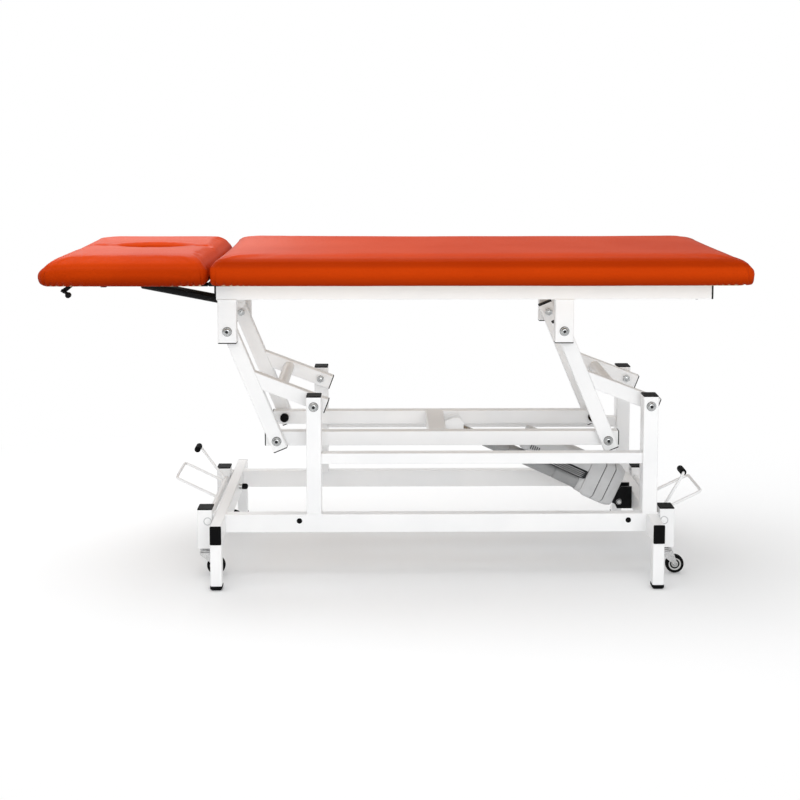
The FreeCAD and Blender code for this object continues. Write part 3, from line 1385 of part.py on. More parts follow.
def castor(end, side, trail):
    """Swivel fork and wheel. trail is 1 where the wheel trails towards +X."""
    way = 1 if end == "head" else -1
    side_way = -1 if side == "near" else 1
    x = f"({CROSS_X[end]} - {way} * {HOUSING_OUT})"
    y = f"({side_way} * {POST_Y})"
    top = "(size.housing_bottom - size.race_gap)"
    bottom = f"({top} - size.race_high)"
    reach = f"{trail} * size.castor_trail"

    fork = new_body(f"fork_{end}_{side}")
    race = sketch_on(fork, "XY_Plane", bottom)
    circle(race, "size.race_radius")
    circle(race, "size.stem_radius + size.pin_slack")
    pad(race, "size.race_high")
    crown = sketch_on(fork, "XZ_Plane")
    plate_low = f"({bottom} - size.fork_thick)"
    front = f"-{trail} * size.race_radius"
    back = f"{reach} * 0.6"
    edges = (front, back) if trail > 0 else (back, front)
    box_outline(crown, *edges, plate_low, bottom)
    width = "(size.fork_gap + 2 * size.fork_thick)"
    pad(crown, width, symmetric=True)
    cheek = sketch_on(fork, "XZ_Plane")
    boss = "(size.axle_radius * 2.4)"
    outline(cheek, [
        (front, bottom), (back, bottom), (f"{reach} + {trail} * {boss}", f"{AXLE_Z} + {boss} * 0.4"),
        (f"{reach} + {trail} * {boss} * 0.6", f"{AXLE_Z} - {boss} * 0.8"),
        (f"{reach} - {trail} * {boss} * 0.6", f"{AXLE_Z} - {boss} * 0.8"),
        (front, f"{bottom} - 3 * size.fork_thick"),
    ])
    pad(cheek, width, symmetric=True)
    room = sketch_on(fork, "XY_Plane", plate_low)
    half = "size.fork_gap / 2"
    box_outline(room, "-3 * size.wheel_radius", "3 * size.wheel_radius", f"-{half}", half)
    pocket(room, "2 * size.wheel_radius")
    bolt_holes(fork, [(reach, AXLE_Z)], "size.axle_radius + size.pin_slack")
    node(f"castor_fork_{end}_{side}", place(fork, x, y))

    wheel = new_body(f"wheel_{end}_{side}")
    half_wide = "size.wheel_wide / 2"
    rim = "(size.wheel_radius - size.tyre_depth)"
    hub_half = "(size.fork_gap / 2 - size.fork_slack)"
    tread = "(size.wheel_radius - 1.5)"
    turned_along(wheel, [
        (f"-{hub_half}", "0"), (f"-{hub_half}", "size.wheel_hub_radius"),
        (f"-{half_wide} * 0.6", "size.wheel_hub_radius"), (f"-{half_wide} * 0.6", rim),
        (f"-{half_wide}", rim), (f"-{half_wide}", tread), (f"-{half_wide} * 0.6", "size.wheel_radius"),
        (f"{half_wide} * 0.6", "size.wheel_radius"), (half_wide, tread), (half_wide, rim),
        (f"{half_wide} * 0.6", rim), (f"{half_wide} * 0.6", "size.wheel_hub_radius"),
        (hub_half, "size.wheel_hub_radius"), (hub_half, "0"),
    ])
    axle = sketch_on(wheel, "YZ_Plane")
    circle(axle, "size.axle_radius")
    pad(axle, f"{width} + 2 * size.fork_thick", symmetric=True)
    node(f"castor_wheel_{end}_{side}", place(wheel, f"{x} + {reach}", y, AXLE_Z, "90", "Z"))


# The whole table

base_rails()
cross_tubes()
posts()
post_ties()
legs_and_feet()
castor_housings()
base_plugs()
post_bolts()
buffer_stop()
actuator_bracket()
for end in ("head", "foot"):
    crank(end)
link_frame()
actuator()
top_frame()
padding()
headrest_hinges()
gas_spring()
release_lever()
for end in ("head", "foot"):
    pedal(end)
    castor_stems(end)
    for side in ("near", "far"):
        castor(end, side, 1)
doc.recompute()

# Checks and files

unsound = [item.Label for item in doc.Objects if "Invalid" in item.State or "Error" in item.State]
if unsound:
    raise RuntimeError(f"could not be worked out: {', '.join(unsound)}")
labels = [piece.Label for piece in nodes]
if len(set(labels)) != len(labels) or len(labels) > 60:
    raise RuntimeError(f"{len(labels)} sub-parts, {len(set(labels))} different names")
for piece in nodes:
    shape = piece.Shape
    if shape.isNull() or not shape.isValid() or not shape.Solids:
        raise RuntimeError(f"{piece.Label} has no sound solid")
    shape.exportStep(f"parts/{piece.Label}.step")
    print(f"{piece.Label}: {len(shape.Solids)} solids, {shape.Volume / 1000:.1f} cm3")
print(f"{len(nodes)} sub-parts")
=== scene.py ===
# %% [markdown]
# # Electric therapy table
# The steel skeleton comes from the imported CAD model. The pieces whose look decides the picture, such
# as the padding, the castors and the jack, are made here as surfaces worked out with numpy, and each
# one rides on the CAD body that carries it.

# %% Load the frame
import json
import math
import bmesh
import bpy
import numpy as np
from mathutils import Matrix, Vector


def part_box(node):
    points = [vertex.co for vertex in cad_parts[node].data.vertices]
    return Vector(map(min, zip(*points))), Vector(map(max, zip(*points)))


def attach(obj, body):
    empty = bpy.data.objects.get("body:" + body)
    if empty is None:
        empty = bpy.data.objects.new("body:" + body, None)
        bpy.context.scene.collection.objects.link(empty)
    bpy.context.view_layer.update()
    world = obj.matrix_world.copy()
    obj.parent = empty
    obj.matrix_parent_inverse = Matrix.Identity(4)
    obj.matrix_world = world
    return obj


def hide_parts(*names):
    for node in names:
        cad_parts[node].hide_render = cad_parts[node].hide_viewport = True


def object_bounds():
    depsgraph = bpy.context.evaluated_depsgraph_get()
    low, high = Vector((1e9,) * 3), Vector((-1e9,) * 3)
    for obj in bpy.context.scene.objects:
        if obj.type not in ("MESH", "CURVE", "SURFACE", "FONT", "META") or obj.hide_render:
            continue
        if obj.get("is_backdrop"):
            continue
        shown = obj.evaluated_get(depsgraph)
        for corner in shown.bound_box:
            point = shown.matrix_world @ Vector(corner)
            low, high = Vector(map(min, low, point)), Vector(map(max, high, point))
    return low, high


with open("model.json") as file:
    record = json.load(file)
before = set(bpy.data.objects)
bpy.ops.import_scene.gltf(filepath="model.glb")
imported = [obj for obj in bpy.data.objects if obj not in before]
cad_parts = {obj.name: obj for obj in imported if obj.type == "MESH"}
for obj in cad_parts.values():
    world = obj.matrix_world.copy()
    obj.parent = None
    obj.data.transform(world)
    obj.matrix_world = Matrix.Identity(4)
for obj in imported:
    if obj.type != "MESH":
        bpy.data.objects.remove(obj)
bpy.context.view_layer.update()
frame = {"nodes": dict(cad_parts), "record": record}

# %% [markdown]
# ## Camera, light and floor
# The camera stands where the photograph was taken: at the long side, a little above the padding, with
# a long lens. A large soft lamp overhead gives padding a pale top and a deeper side. The floor catches
# the shadow and fades into white.

# %% Camera
SENSOR = 36.0
FOCAL_PIXELS = 1338.0
FRAME_PIXELS = 800.0
LENS_AXIS_ROW = 231.8
PITCH_DOWN = 0.09
TURN = -0.00988


def placed(name, data):
    """A new object in the scene."""
    made = bpy.data.objects.new(name, data)
    bpy.context.scene.collection.objects.link(made)
    return made


camera_data = bpy.data.cameras.new("camera")
camera_data.sensor_width = SENSOR
camera_data.lens = SENSOR * FOCAL_PIXELS / FRAME_PIXELS
camera_data.shift_y = -(FRAME_PIXELS / 2 - LENS_AXIS_ROW) / FRAME_PIXELS
camera_data.clip_end = 50
camera = placed("camera", camera_data)
camera.location = (-0.0275, -3.756, 1.255)
camera.rotation_euler = (math.pi / 2 - PITCH_DOWN, 0, TURN)
bpy.context.scene.camera = camera
bpy.context.scene.view_settings.view_transform = "Standard"
print("lens", round(camera_data.lens, 1), "mm")

# %% [markdown]
# ## Shader sums as Python
# `Socket` wraps one output of a node, and its operators add Math nodes, so `grain * 0.5 + 0.2` is a
# height. `Finish` owns one material, and its method `node` makes every other node.

# %% Socket and Finish


class Socket:
    """One output of a shader node, which can be used in sums."""

    def __init__(self, finish, output):
        self.finish = finish
        self.output = output

    def math(self, operation, *values):
        inputs = dict(enumerate(values))
        return self.finish.node("ShaderNodeMath", inputs, operation=operation)

    def __add__(self, other):
        return self.math("ADD", self, other)

    def __radd__(self, other):
        return self.math("ADD", other, self)

    def __sub__(self, other):
        return self.math("SUBTRACT", self, other)

    def __rsub__(self, other):
        return self.math("SUBTRACT", other, self)

    def __mul__(self, other):
        return self.math("MULTIPLY", self, other)

    def __rmul__(self, other):
        return self.math("MULTIPLY", other, self)

    def between(self, low, high):
        """0 below low, 1 above high and smooth in between."""
        inputs = {"Value": self, "From Min": low, "From Max": high}
        return self.finish.node("ShaderNodeMapRange", inputs, interpolation_type="SMOOTHSTEP")


class Finish:
    """A material that is being made."""

    def __init__(self, name, colour, roughness, metallic=0.0):
        self.material = bpy.data.materials.new(name)
        self.material.use_nodes = True
        self.tree = self.material.node_tree
        self.shader = self.tree.nodes["Principled BSDF"]
        self.set("Base Color", (*colour, 1))
        self.set("Roughness", roughness)
        self.set("Metallic", metallic)
        self.place = self.node("ShaderNodeTexCoord", output="Object")

    def set(self, name, value):
        self.feed(self.shader.inputs[name], value)

    def feed(self, socket, value):
        if isinstance(value, Socket):
            self.tree.links.new(value.output, socket)
        else:
            socket.default_value = value

    def node(self, kind, inputs=None, output=0, **settings):
        """Adds a node: its settings first, then the values or links of its sockets."""
        made = self.tree.nodes.new(kind)
        for name, value in settings.items():
            setattr(made, name, value)
        for name, value in (inputs or {}).items():
            self.feed(made.inputs[name], value)
        return Socket(self, made.outputs[output])

    def noise(self, scale, detail=2.0, roughness=0.5, distortion=0.0, place=None):
        inputs = {"Vector": place or self.place, "Scale": scale, "Detail": detail,
                  "Roughness": roughness, "Distortion": distortion}
        return self.node("ShaderNodeTexNoise", inputs)

    def cells(self, scale, feature="F1"):
        return self.node("ShaderNodeTexVoronoi", {"Vector": self.place, "Scale": scale}, feature=feature)

    def mapped(self, scale):
        return self.node("ShaderNodeMapping", {"Vector": self.place, "Scale": scale})

    def blend(self, share, first, second):
        """Colour between first, where share is 0, and second, where it is 1."""
        first, second = (v if isinstance(v, Socket) else (*v, 1) for v in (first, second))
        return self.node("ShaderNodeMix", {0: share, 6: first, 7: second}, output=2, data_type="RGBA")

    def paint(self, share, first, second, roughness, height, distance, strength):
        """Sets what varies over the surface: two colours by a share, the roughness and the bump."""
        self.set("Base Color", self.blend(share, first, second))
        self.set("Roughness", roughness)
        inputs = {"Height": height, "Distance": distance, "Strength": strength}
        self.set("Normal", self.node("ShaderNodeBump", inputs))
        return self.material


def shade(colour, factor):
    """The same colour, lighter or darker by a factor."""
    return tuple(min(1.0, part * factor) for part in colour)


print("shaders ready")

# %% [markdown]
# ## Finishes
# Powder coat is a thick white skin with faint orange peel. Moulded plastic and rubber have a fine
# grain that scatters the light. Zinc-plated steel is a grey metal with a soft crystalline mottle.

# %% Hard finishes


def powder_coat():
    finish = Finish("powder_coat", (0.90, 0.90, 0.90), 0.34)
    peel = finish.noise(900.0, detail=1.0)
    drift = finish.noise(6.0, detail=3.0)
    return finish.paint(drift.between(0.35, 0.75), (0.90, 0.90, 0.90), (0.86, 0.865, 0.87),
                        drift * 0.10 + peel * 0.06 + 0.26, peel, 0.00025, 0.35)


def moulded_plastic(name, colour, roughness, shine):
    finish = Finish(name, colour, roughness)
    finish.set("Specular IOR Level", shine)
    grain = finish.cells(1800.0)
    haze = finish.noise(40.0, detail=4.0)
    return finish.paint(haze.between(0.3, 0.8), shade(colour, 0.96), shade(colour, 1.04),
                        haze * 0.14 + (roughness - 0.06), grain, 0.00012, 0.5)


def moulded_rubber():
    finish = Finish("moulded_rubber", (0.005, 0.005, 0.0053), 0.72)
    finish.set("Specular IOR Level", 0.07)
    dust = finish.noise(90.0, detail=6.0, roughness=0.7)
    return finish.paint(dust.between(0.55, 0.85), (0.004, 0.004, 0.0043), (0.009, 0.009, 0.009),
                        dust * 0.2 + 0.6, dust, 0.0002, 0.4)


def zinc_plate(name, colour):
    finish = Finish(name, colour, 0.24, 1.0)
    film = finish.noise(30.0, detail=5.0)
    mottle = finish.cells(260.0) * 0.35 + film * 0.65
    return finish.paint(mottle.between(0.2, 0.7), shade(colour, 0.82), shade(colour, 1.12),
                        mottle * 0.18 + 0.19, film, 0.0001, 0.3)


def plywood():
    finish = Finish("plywood", (0.50, 0.34, 0.19), 0.62)
    along = finish.mapped((1.2, 22.0, 60.0))
    figure = finish.noise(4.0, detail=6.0, roughness=0.6, distortion=0.6, place=along)
    pore = finish.noise(60.0, detail=3.0, place=along)
    tone = figure * 0.75 + pore * 0.25
    return finish.paint(tone.between(0.35, 0.7), (0.56, 0.39, 0.22), (0.33, 0.20, 0.10),
                        pore * 0.2 + 0.5, pore, 0.0003, 0.4)


def leatherette():
    """Coated cloth with a pebble grain about a millimetre across over slow tonal drift. Painted shade
    darkens it at its foot, in the hollow under the top edge and in the face hole."""
    finish = Finish("leatherette", (0.54, 0.044, 0.002), 0.46)
    finish.set("Specular IOR Level", 0.03)
    finish.set("Specular Tint", (1.0, 0.5, 0.25, 1.0))
    pebble = finish.cells(1050.0, feature="SMOOTH_F1")
    drift = finish.noise(3.2, detail=3.0)
    height = pebble * 0.7 + finish.noise(160.0) * 0.3 + finish.noise(2600.0, detail=1.0) * 0.12
    warm = finish.blend(drift.between(0.3, 0.75), (0.56, 0.049, 0.0022), (0.50, 0.040, 0.0018))
    grained = finish.blend(pebble.between(0.35, 0.8), warm, (0.46, 0.034, 0.0012))
    along, aside, level = (finish.node("ShaderNodeSeparateXYZ", {0: finish.place}, output=axis)
                           for axis in range(3))
    on_main = along.between(-0.492, -0.486)
    # Painted shade: these masks darken the foot of the sides, a band in the hollow under the top edge and
    # the walls of the face hole.
    foot = level.between(0.838, 0.801) * 0.66
    hollow = on_main * level.between(0.846, 0.857) * level.between(0.879, 0.868) * 0.40
    hollow = hollow + (1.0 - on_main) * level.between(0.864, 0.846) * 0.22
    painted_hole_shade = aside.between(-0.12, -0.08) * aside.between(0.12, 0.08) * along.between(-0.54, -0.57)
    painted_hole_shade = painted_hole_shade * along.between(-0.83, -0.80) * level.between(0.874, 0.852) * 0.30
    # The deep red second colour is the painted shade.
    return finish.paint(foot + hollow + painted_hole_shade, grained, (0.17, 0.008, 0.0002),
                        drift * 0.10 + pebble * 0.12 + 0.32, height, 0.0006, 0.35)


COAT = powder_coat()
BLACK = moulded_plastic("black_plastic", (0.003, 0.003, 0.0033), 0.5, 0.06)
GREY = moulded_plastic("grey_housing", (0.58, 0.585, 0.59), 0.42, 0.3)
# Painted shade: the barrel's grey is the housing plastic drawn darker, as if in shadow.
SHADED_BARREL_GREY = moulded_plastic("barrel_grey_painted_shade", (0.33, 0.333, 0.336), 0.40, 0.3)
# Near black: painted shade and shadow in gaps, seams and sockets, and also the jack's dark plastic tail.
DARK = moulded_plastic("dark_plastic_and_painted_shade", (0.03, 0.031, 0.033), 0.6, 0.12)
HUB = moulded_plastic("pale_hub", (0.62, 0.62, 0.61), 0.38, 0.4)
RUBBER = moulded_rubber()
ZINC = zinc_plate("zinc_plate", (0.50, 0.51, 0.51))
STEEL = zinc_plate("bright_steel", (0.62, 0.62, 0.62))
ENAMEL = moulded_plastic("black_enamel", (0.004, 0.004, 0.0043), 0.36, 0.10)
PLY = plywood()
HIDE = leatherette()
by_slot = {
    "frame_coat": COAT, "black_plastic": BLACK, "zinc_plate": ZINC, "black_rubber": RUBBER,
    "leatherette": HIDE, "plywood": PLY, "actuator_housing": GREY, "black_steel": ENAMEL,
    "castor_tyre": RUBBER,
}
slot_of = {part["node"]: part["material_slot"] for part in frame["record"]["subparts"]}
for name, mesh_object in frame["nodes"].items():
    mesh_object.data.materials.clear()
    mesh_object.data.materials.append(ENAMEL if name == "release_lever" else by_slot[slot_of[name]])
print(len(by_slot), "finishes on", len(slot_of), "CAD nodes")

# %% [markdown]
# ## Light and floor
# One wide lamp hangs over the table, a small one over its head end, a third stands behind the camera
# and a fourth behind the table. The world is a pale grey that the camera sees as white.

# %% Lamps, world and floor


def lamp(name, place, target, size, watts):
    data = bpy.data.lights.new(name, "AREA")
    data.shape = "RECTANGLE"
    data.size, data.size_y = size
    data.energy = watts
    made = placed(name, data)
    made.location = place
    aim = Vector(target) - Vector(place)
    made.rotation_euler = aim.to_track_quat("-Z", "Y").to_euler()


lamp("lamp_over", (-0.5, 0.3, 3.4), (0, 0, 0.6), (3.6, 2.2), 56)
lamp("lamp_front", (0.6, -4.6, 1.7), (0, 0, 0.5), (3.4, 1.8), 78)
lamp("lamp_back", (-1.6, 3.2, 2.2), (0, 0, 0.5), (2.4, 1.6), 22)
lamp("lamp_head", (-1.5, 0.3, 2.3), (-0.75, 0, 0.85), (0.8, 0.8), 9)

SKY_LIGHT = 0.58
world = bpy.data.worlds.new("world")
bpy.context.scene.world = world
world.use_nodes = True
tree = world.node_tree
sky = tree.nodes["Background"]
sky.inputs["Color"].default_value = (1, 1, 1, 1)
ray = tree.nodes.new("ShaderNodeLightPath")
level = tree.nodes.new("ShaderNodeMapRange")
level.inputs["To Min"].default_value = SKY_LIGHT
level.inputs["To Max"].default_value = 1.0
tree.links.new(ray.outputs["Is Camera Ray"], level.inputs["Value"])
tree.links.new(level.outputs[0], sky.inputs["Strength"])


def floor_finish():
    """White floor that keeps the shadow near the table and melts into the background farther out."""
    finish = Finish("floor", (0.95, 0.96, 0.97), 0.9)
    finish.set("Specular IOR Level", 0.0)
    reach = finish.node("ShaderNodeVectorMath", {0: finish.mapped((0.42, 0.62, 1.0))}, output=1,
                        operation="LENGTH")
    seen = finish.node("ShaderNodeLightPath")
    share = reach.between(0.15, 0.95) * seen
    glow = finish.node("ShaderNodeEmission", {"Color": (1, 1, 1, 1), "Strength": 1.0})
    plain = Socket(finish, finish.shader.outputs[0])
    mixed = finish.node("ShaderNodeMixShader", {0: share, 1: plain, 2: glow})
    output = finish.tree.nodes["Material Output"]
    finish.tree.links.new(mixed.output, output.inputs["Surface"])
    return finish.material


FLOOR_REACH = 14.0
floor_mesh = bpy.data.meshes.new("floor")
corners = [(x * FLOOR_REACH, y * FLOOR_REACH, 0) for x, y in ((-1, -1), (1, -1), (1, 1), (-1, 1))]
floor_mesh.from_pydata(corners, [], [(0, 1, 2, 3)])
floor_mesh.materials.append(floor_finish())
floor = placed("floor", floor_mesh)
floor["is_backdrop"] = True
print("lit")

# %% [markdown]
# ## Surfaces from formulas
# `grid` joins rows of points with faces, `lathe` turns a profile about an axis, `sweep` carries an
# outline along a path, and `piece` makes one object of such grids, which rides on a CAD body.

# %% Grid, lathe and sweep
MM = 0.001


def grid(points, wrap_rows=False):
    """Vertices and faces of a grid of points whose columns close on themselves. Each face joins four
    neighbours, and one face caps each end where the rows don't close on themselves too."""
    points = np.asarray(points, float)
    index = np.arange(points[..., 0].size).reshape(points.shape[:2])
    below = np.roll(index, -1, 0)
    faces = np.stack([index, np.roll(index, -1, 1), np.roll(below, -1, 1), below], -1)
    if wrap_rows:
        return points.reshape(-1, 3), faces.reshape(-1, 4).tolist()
    faces = faces[:-1].reshape(-1, 4).tolist() + [index[0].tolist(), index[-1].tolist()]
    return points.reshape(-1, 3), faces


def lathe(profile, steps, axis="X", place=(0, 0, 0)):
    """Rows of (station, radius) in mm turned once round an axis: a point at station s and radius r
    goes to (s, r cos t, r sin t) for X, and likewise for Y and Z."""
    profile = np.array(profile) * MM
    t = np.linspace(0, 2 * np.pi, steps, endpoint=False)
    s = profile[:, :1] + 0 * t
    a = profile[:, 1:] * np.cos(t)
    b = profile[:, 1:] * np.sin(t)
    order = {"X": (s, a, b), "Y": (b, s, a), "Z": (a, b, s)}[axis]
    return grid(np.stack(order, -1) + np.asarray(place, float))


def outline(half_wide, half_high, corner, steps=5):
    """Closed rounded rectangle: quarter circles of the corner's radius about four centres."""
    t = np.linspace(0, np.pi / 2, steps)
    quarters = []
    for turn, (sx, sy) in enumerate(((1, 1), (-1, 1), (-1, -1), (1, -1))):
        angle = t + turn * np.pi / 2
        centre = np.array([sx * (half_wide - corner), sy * (half_high - corner)])
        quarters.append(centre + corner * np.stack([np.cos(angle), np.sin(angle)], -1))
    return np.concatenate(quarters)


def ring(radius, steps):
    """Closed circle of points."""
    t = np.linspace(0, 2 * np.pi, steps, endpoint=False)
    return radius * np.stack([np.cos(t), np.sin(t)], -1)


def sweep(path, section, up, closed=False, scale=1.0):
    """Outline carried along a path: each row is path + x * side + y * up', where side is at right
    angles to the path's direction and the up vector."""
    if closed:
        along = np.roll(path, -1, 0) - np.roll(path, 1, 0)
    else:
        along = np.gradient(path, axis=0)
    along /= np.linalg.norm(along, axis=1, keepdims=True)
    side = np.cross(along, np.asarray(up, float))
    side /= np.linalg.norm(side, axis=1, keepdims=True)
    rise = np.cross(side, along)
    size = scale * np.ones(len(path))
    x = section[None, :, 0, None] * size[:, None, None]
    y = section[None, :, 1, None] * size[:, None, None]
    points = path[:, None] + side[:, None] * x + rise[:, None] * y
    return grid(points, wrap_rows=closed)


def bent_path(corners, radius, steps=8):
    """Straight runs with each inner corner replaced by a tangent arc: a quadratic blend between
    points at the same reach before and after the corner."""
    corners = np.asarray(corners, float)
    points = [corners[0]]
    for before, corner, after in zip(corners, corners[1:], corners[2:]):
        start = corner + (before - corner) / np.linalg.norm(before - corner) * radius
        end = corner + (after - corner) / np.linalg.norm(after - corner) * radius
        t = np.linspace(0, 1, steps)[:, None]
        points.extend((1 - t) ** 2 * start + 2 * t * (1 - t) * corner + t ** 2 * end)
    points.append(corners[-1])
    return np.array(points)


def both(parts):
    """The parts, and the same parts on the other side of the table's middle plane."""
    return [item for points, faces in parts for item in ((points, faces), (points * [1, -1, 1], faces))]


def block(low, high, corner, bevel):
    """Closed box with rounded upright edges and bevelled rims, from two opposite corners."""
    low, high = np.asarray(low, float), np.asarray(high, float)
    half = (high - low) / 2
    centre = (high + low) / 2
    rows = []
    for inset, level in ((bevel, -half[2]), (0, -half[2] + bevel), (0, half[2] - bevel), (bevel, half[2])):
        flat = outline(half[0] - inset, half[1] - inset, max(corner - inset, 0.2 * MM))
        rows.append(np.column_stack([flat, np.full(len(flat), level)]) + centre)
    return grid(rows)


def closed_mesh(name, vertices, faces, weld):
    """Mesh whose faces look outwards, with points that lie on each other welded where asked."""
    mesh = bpy.data.meshes.new(name)
    mesh.from_pydata(np.asarray(vertices).tolist(), [], faces)
    work = bmesh.new()
    work.from_mesh(mesh)
    if weld:
        bmesh.ops.remove_doubles(work, verts=work.verts, dist=1e-6)
        bmesh.ops.dissolve_degenerate(work, edges=work.edges, dist=1e-7)
    bmesh.ops.recalc_face_normals(work, faces=work.faces)
    work.to_mesh(mesh)
    work.free()
    return mesh


def piece(name, parts, body, finish, replaces=(), crease=35.0):
    """Object made of closed grids, smooth but for edges sharper than the crease angle."""
    vertices, faces = [], []
    for points, polygons in parts:
        faces.extend([[corner + len(vertices) for corner in polygon] for polygon in polygons])
        vertices.extend(points.tolist())
    mesh = closed_mesh(name, vertices, faces, weld=True)
    mesh.shade_smooth()
    mesh.set_sharp_from_angle(angle=math.radians(crease))
    mesh.materials.append(finish)
    made = placed(name, mesh)
    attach(made, body)
    if replaces:
        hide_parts(*replaces)


def span(node):
    """Two opposite corners of a CAD node's box, as arrays."""
    low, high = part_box(node)
    return np.array(low), np.array(high)


print("surface helpers ready")

# %% [markdown]
# ## Padding
# Each pad is firm foam on a board under leatherette. It is crowned, its sides swell and its corners are
# folded. So a slightly small slab is remeshed evenly and blown up as cloth with its underside held, and
# the folds are pressed in afterwards, where the remesh can't erase them.

# %% Pad helpers
VOXEL = 7.0 * MM
HEADREST_VOXEL = 5.5 * MM
PAD_SHRINK = 2.0 * MM
PAD_DEPTH = 76 * MM
CLOTH_STEPS = 20
CLOTH = {"quality": 4, "mass": 0.25, "tension_stiffness": 18, "compression_stiffness": 18,
         "shear_stiffness": 8, "bending_stiffness": 3, "use_pressure": True,
         "uniform_pressure_force": 4.0, "vertex_group_mass": "held"}


def surface(pad):
    """Vertex places and normals as arrays."""
    read = []
    for items, name in ((pad.data.vertices, "co"), (pad.data.vertex_normals, "vector")):
        flat = np.empty(len(items) * 3)
        items.foreach_get(name, flat)
        read.append(flat.reshape(-1, 3))
    return read


def move_to(pad, places):
    """Puts the vertices at new places."""
    pad.data.vertices.foreach_set("co", places.ravel())
    pad.data.update()


def baked(made):
    """The object with its modifiers made permanent."""
    graph = bpy.context.evaluated_depsgraph_get()
    mesh = bpy.data.meshes.new_from_object(made.evaluated_get(graph))
    made.modifiers.clear()
    made.data = mesh
    return made


def remeshed(name, parts, voxel):
    """Evenly spaced quads over a closed shape."""
    rough = placed(name, closed_mesh(name, *parts, weld=False))
    remesh = rough.modifiers.new("even", "REMESH")
    remesh.mode = "VOXEL"
    remesh.voxel_size = voxel
    return baked(rough)


def inflate(pad, cap, held_below):
    """Blows the pad up as cloth: points under held_below stay, and the rest move at most the cap,
    by cap * tanh(distance / cap)."""
    before = surface(pad)[0]
    held = pad.vertex_groups.new(name="held")
    held.add(np.flatnonzero(before[:, 2] < held_below).tolist(), 1.0, "REPLACE")
    cloth = pad.modifiers.new("cloth", "CLOTH")
    for name, value in CLOTH.items():
        setattr(cloth.settings, name, value)
    cloth.settings.effector_weights.gravity = 0
    cloth.collision_settings.use_collision = False
    cloth.point_cache.frame_start = 1
    cloth.point_cache.frame_end = CLOTH_STEPS
    for step in range(1, CLOTH_STEPS + 1):
        bpy.context.scene.frame_set(step)
    graph = bpy.context.evaluated_depsgraph_get()
    after = surface(pad.evaluated_get(graph))[0]
    pad.modifiers.clear()
    bpy.context.scene.frame_set(1)
    step = after - before
    length = np.linalg.norm(step, axis=1, keepdims=True) + 1e-9
    move_to(pad, before + step / length * cap * np.tanh(length / cap))
    print(pad.name, "swelled", round(float(np.median(length)) / MM, 1), "mm before the cap")


def subdivided(pad):
    """Adds one level of subdivision for good."""
    smooth = pad.modifiers.new("smooth", "SUBSURF")
    smooth.levels = 1
    smooth.render_levels = 1
    return baked(pad)


def bell(distance, width):
    """1 at no distance and falling smoothly to nothing past the width."""
    return np.exp(-(distance / width) ** 2)


def shape_end(pad, base_z, limits, end_x, way, fall, bulge, square):
    """Shapes one end: the top falls by fall * (1 - d / 110 mm)^2 at a distance d from the end, the lower
    half swells by the bulge, and the corners are pushed out by square * (|y| / 325 mm)^3."""
    places = surface(pad)[0]
    distance = np.maximum(way * (end_x - places[:, 0]), 0)
    level = np.clip((places[:, 2] - base_z) / PAD_DEPTH, 0, 1.1)
    near = np.clip(1 - distance / (110 * MM), 0, 1)
    places[:, 2] -= fall * MM * near ** 2 * level ** 1.5
    close = np.clip(1 - distance / (50 * MM), 0, 1)
    belly = bulge * MM * bell(level - 0.36, 0.36) + square * MM * (np.abs(places[:, 1]) / 0.325) ** 3
    places[:, 0] += way * belly * close
    move_to(pad, np.clip(places, *limits))


def shape_sides(pad, half, centre, base_z, fall):
    """Gives the sides the section of padded cloth: a belly below the middle, a hollow under the top
    edge and a tucked foot, as a sum of bells over the height. The top falls towards both long sides."""
    places, outward = surface(pad)
    from_end = half[0] - np.abs(places[:, 0] - centre[0])
    from_side = half[1] - np.abs(places[:, 1])
    level = (places[:, 2] - base_z) / PAD_DEPTH
    out = 2.8 * bell(level - 0.45, 0.2) - 2.4 * bell(level - 0.78, 0.1) - 2.6 * bell(level, 0.14)
    at_rim = np.clip((45 * MM - np.minimum(from_end, from_side)) / (10 * MM), 0, 1)
    places[:, :2] += outward[:, :2] * (out * MM * at_rim)[:, None]
    near = np.clip(1 - from_side / (95 * MM), 0, 1)
    places[:, 2] -= fall * MM * near ** 2 * np.clip(level, 0, 1.1) ** 1.5
    move_to(pad, places)


def fold_corners(pad, half, centre, base_z):
    """Presses the folded corners in: a tuck down each upright corner, and pleats along the lower
    edge near the corners, as deep as a sine wave along the edge."""
    places, outward = surface(pad)
    x = places[:, 0] - centre[0]
    y = places[:, 1]
    z = places[:, 2] - base_z
    from_end = half[0] - np.abs(x)
    from_side = half[1] - np.abs(y)
    diagonal = from_end - from_side
    upright = np.clip((58 * MM - z) / (20 * MM), 0, 1) * np.clip((z - 2 * MM) / (8 * MM), 0, 1)
    at_corner = bell(np.hypot(from_end, from_side), 26 * MM)
    bend = 3.0 * MM + 0.10 * z
    tuck = bell(diagonal - bend, 2.6 * MM) * upright * at_corner * 3.4 * MM
    swell = bell(diagonal - bend - 8 * MM, 6 * MM) * upright * at_corner * 1.6 * MM
    low = bell(z - 3 * MM, 12 * MM)
    along = np.where(from_side < from_end, x, y)
    near = bell(np.maximum(from_end, from_side) - 30 * MM, 75 * MM)
    edge = bell(np.minimum(from_end, from_side), 22 * MM)
    wave = 0.5 + 0.5 * np.sin(along * (2 * np.pi / (19 * MM)) + 3.0 * np.sin(along * 31.0))
    pleat = wave ** 3 * low * near * edge * 3.0 * MM
    places += outward * (swell - tuck - pleat)[:, None]
    places[:, 2] += pleat * 0.8
    move_to(pad, places)


def ripple(pad, start_x, depth):
    """Slow unevenness of hand-pulled cloth: a sum of three long waves over the plan."""
    places, outward = surface(pad)
    x = places[:, 0] - start_x
    y = places[:, 1]
    wave = np.sin(9.1 * x + 3.0 * y) + 0.6 * np.sin(17.0 * y - 5.0 * x + 1.3) + 0.5 * np.sin(23.0 * x + 2.1)
    move_to(pad, places + outward * (wave * depth)[:, None])


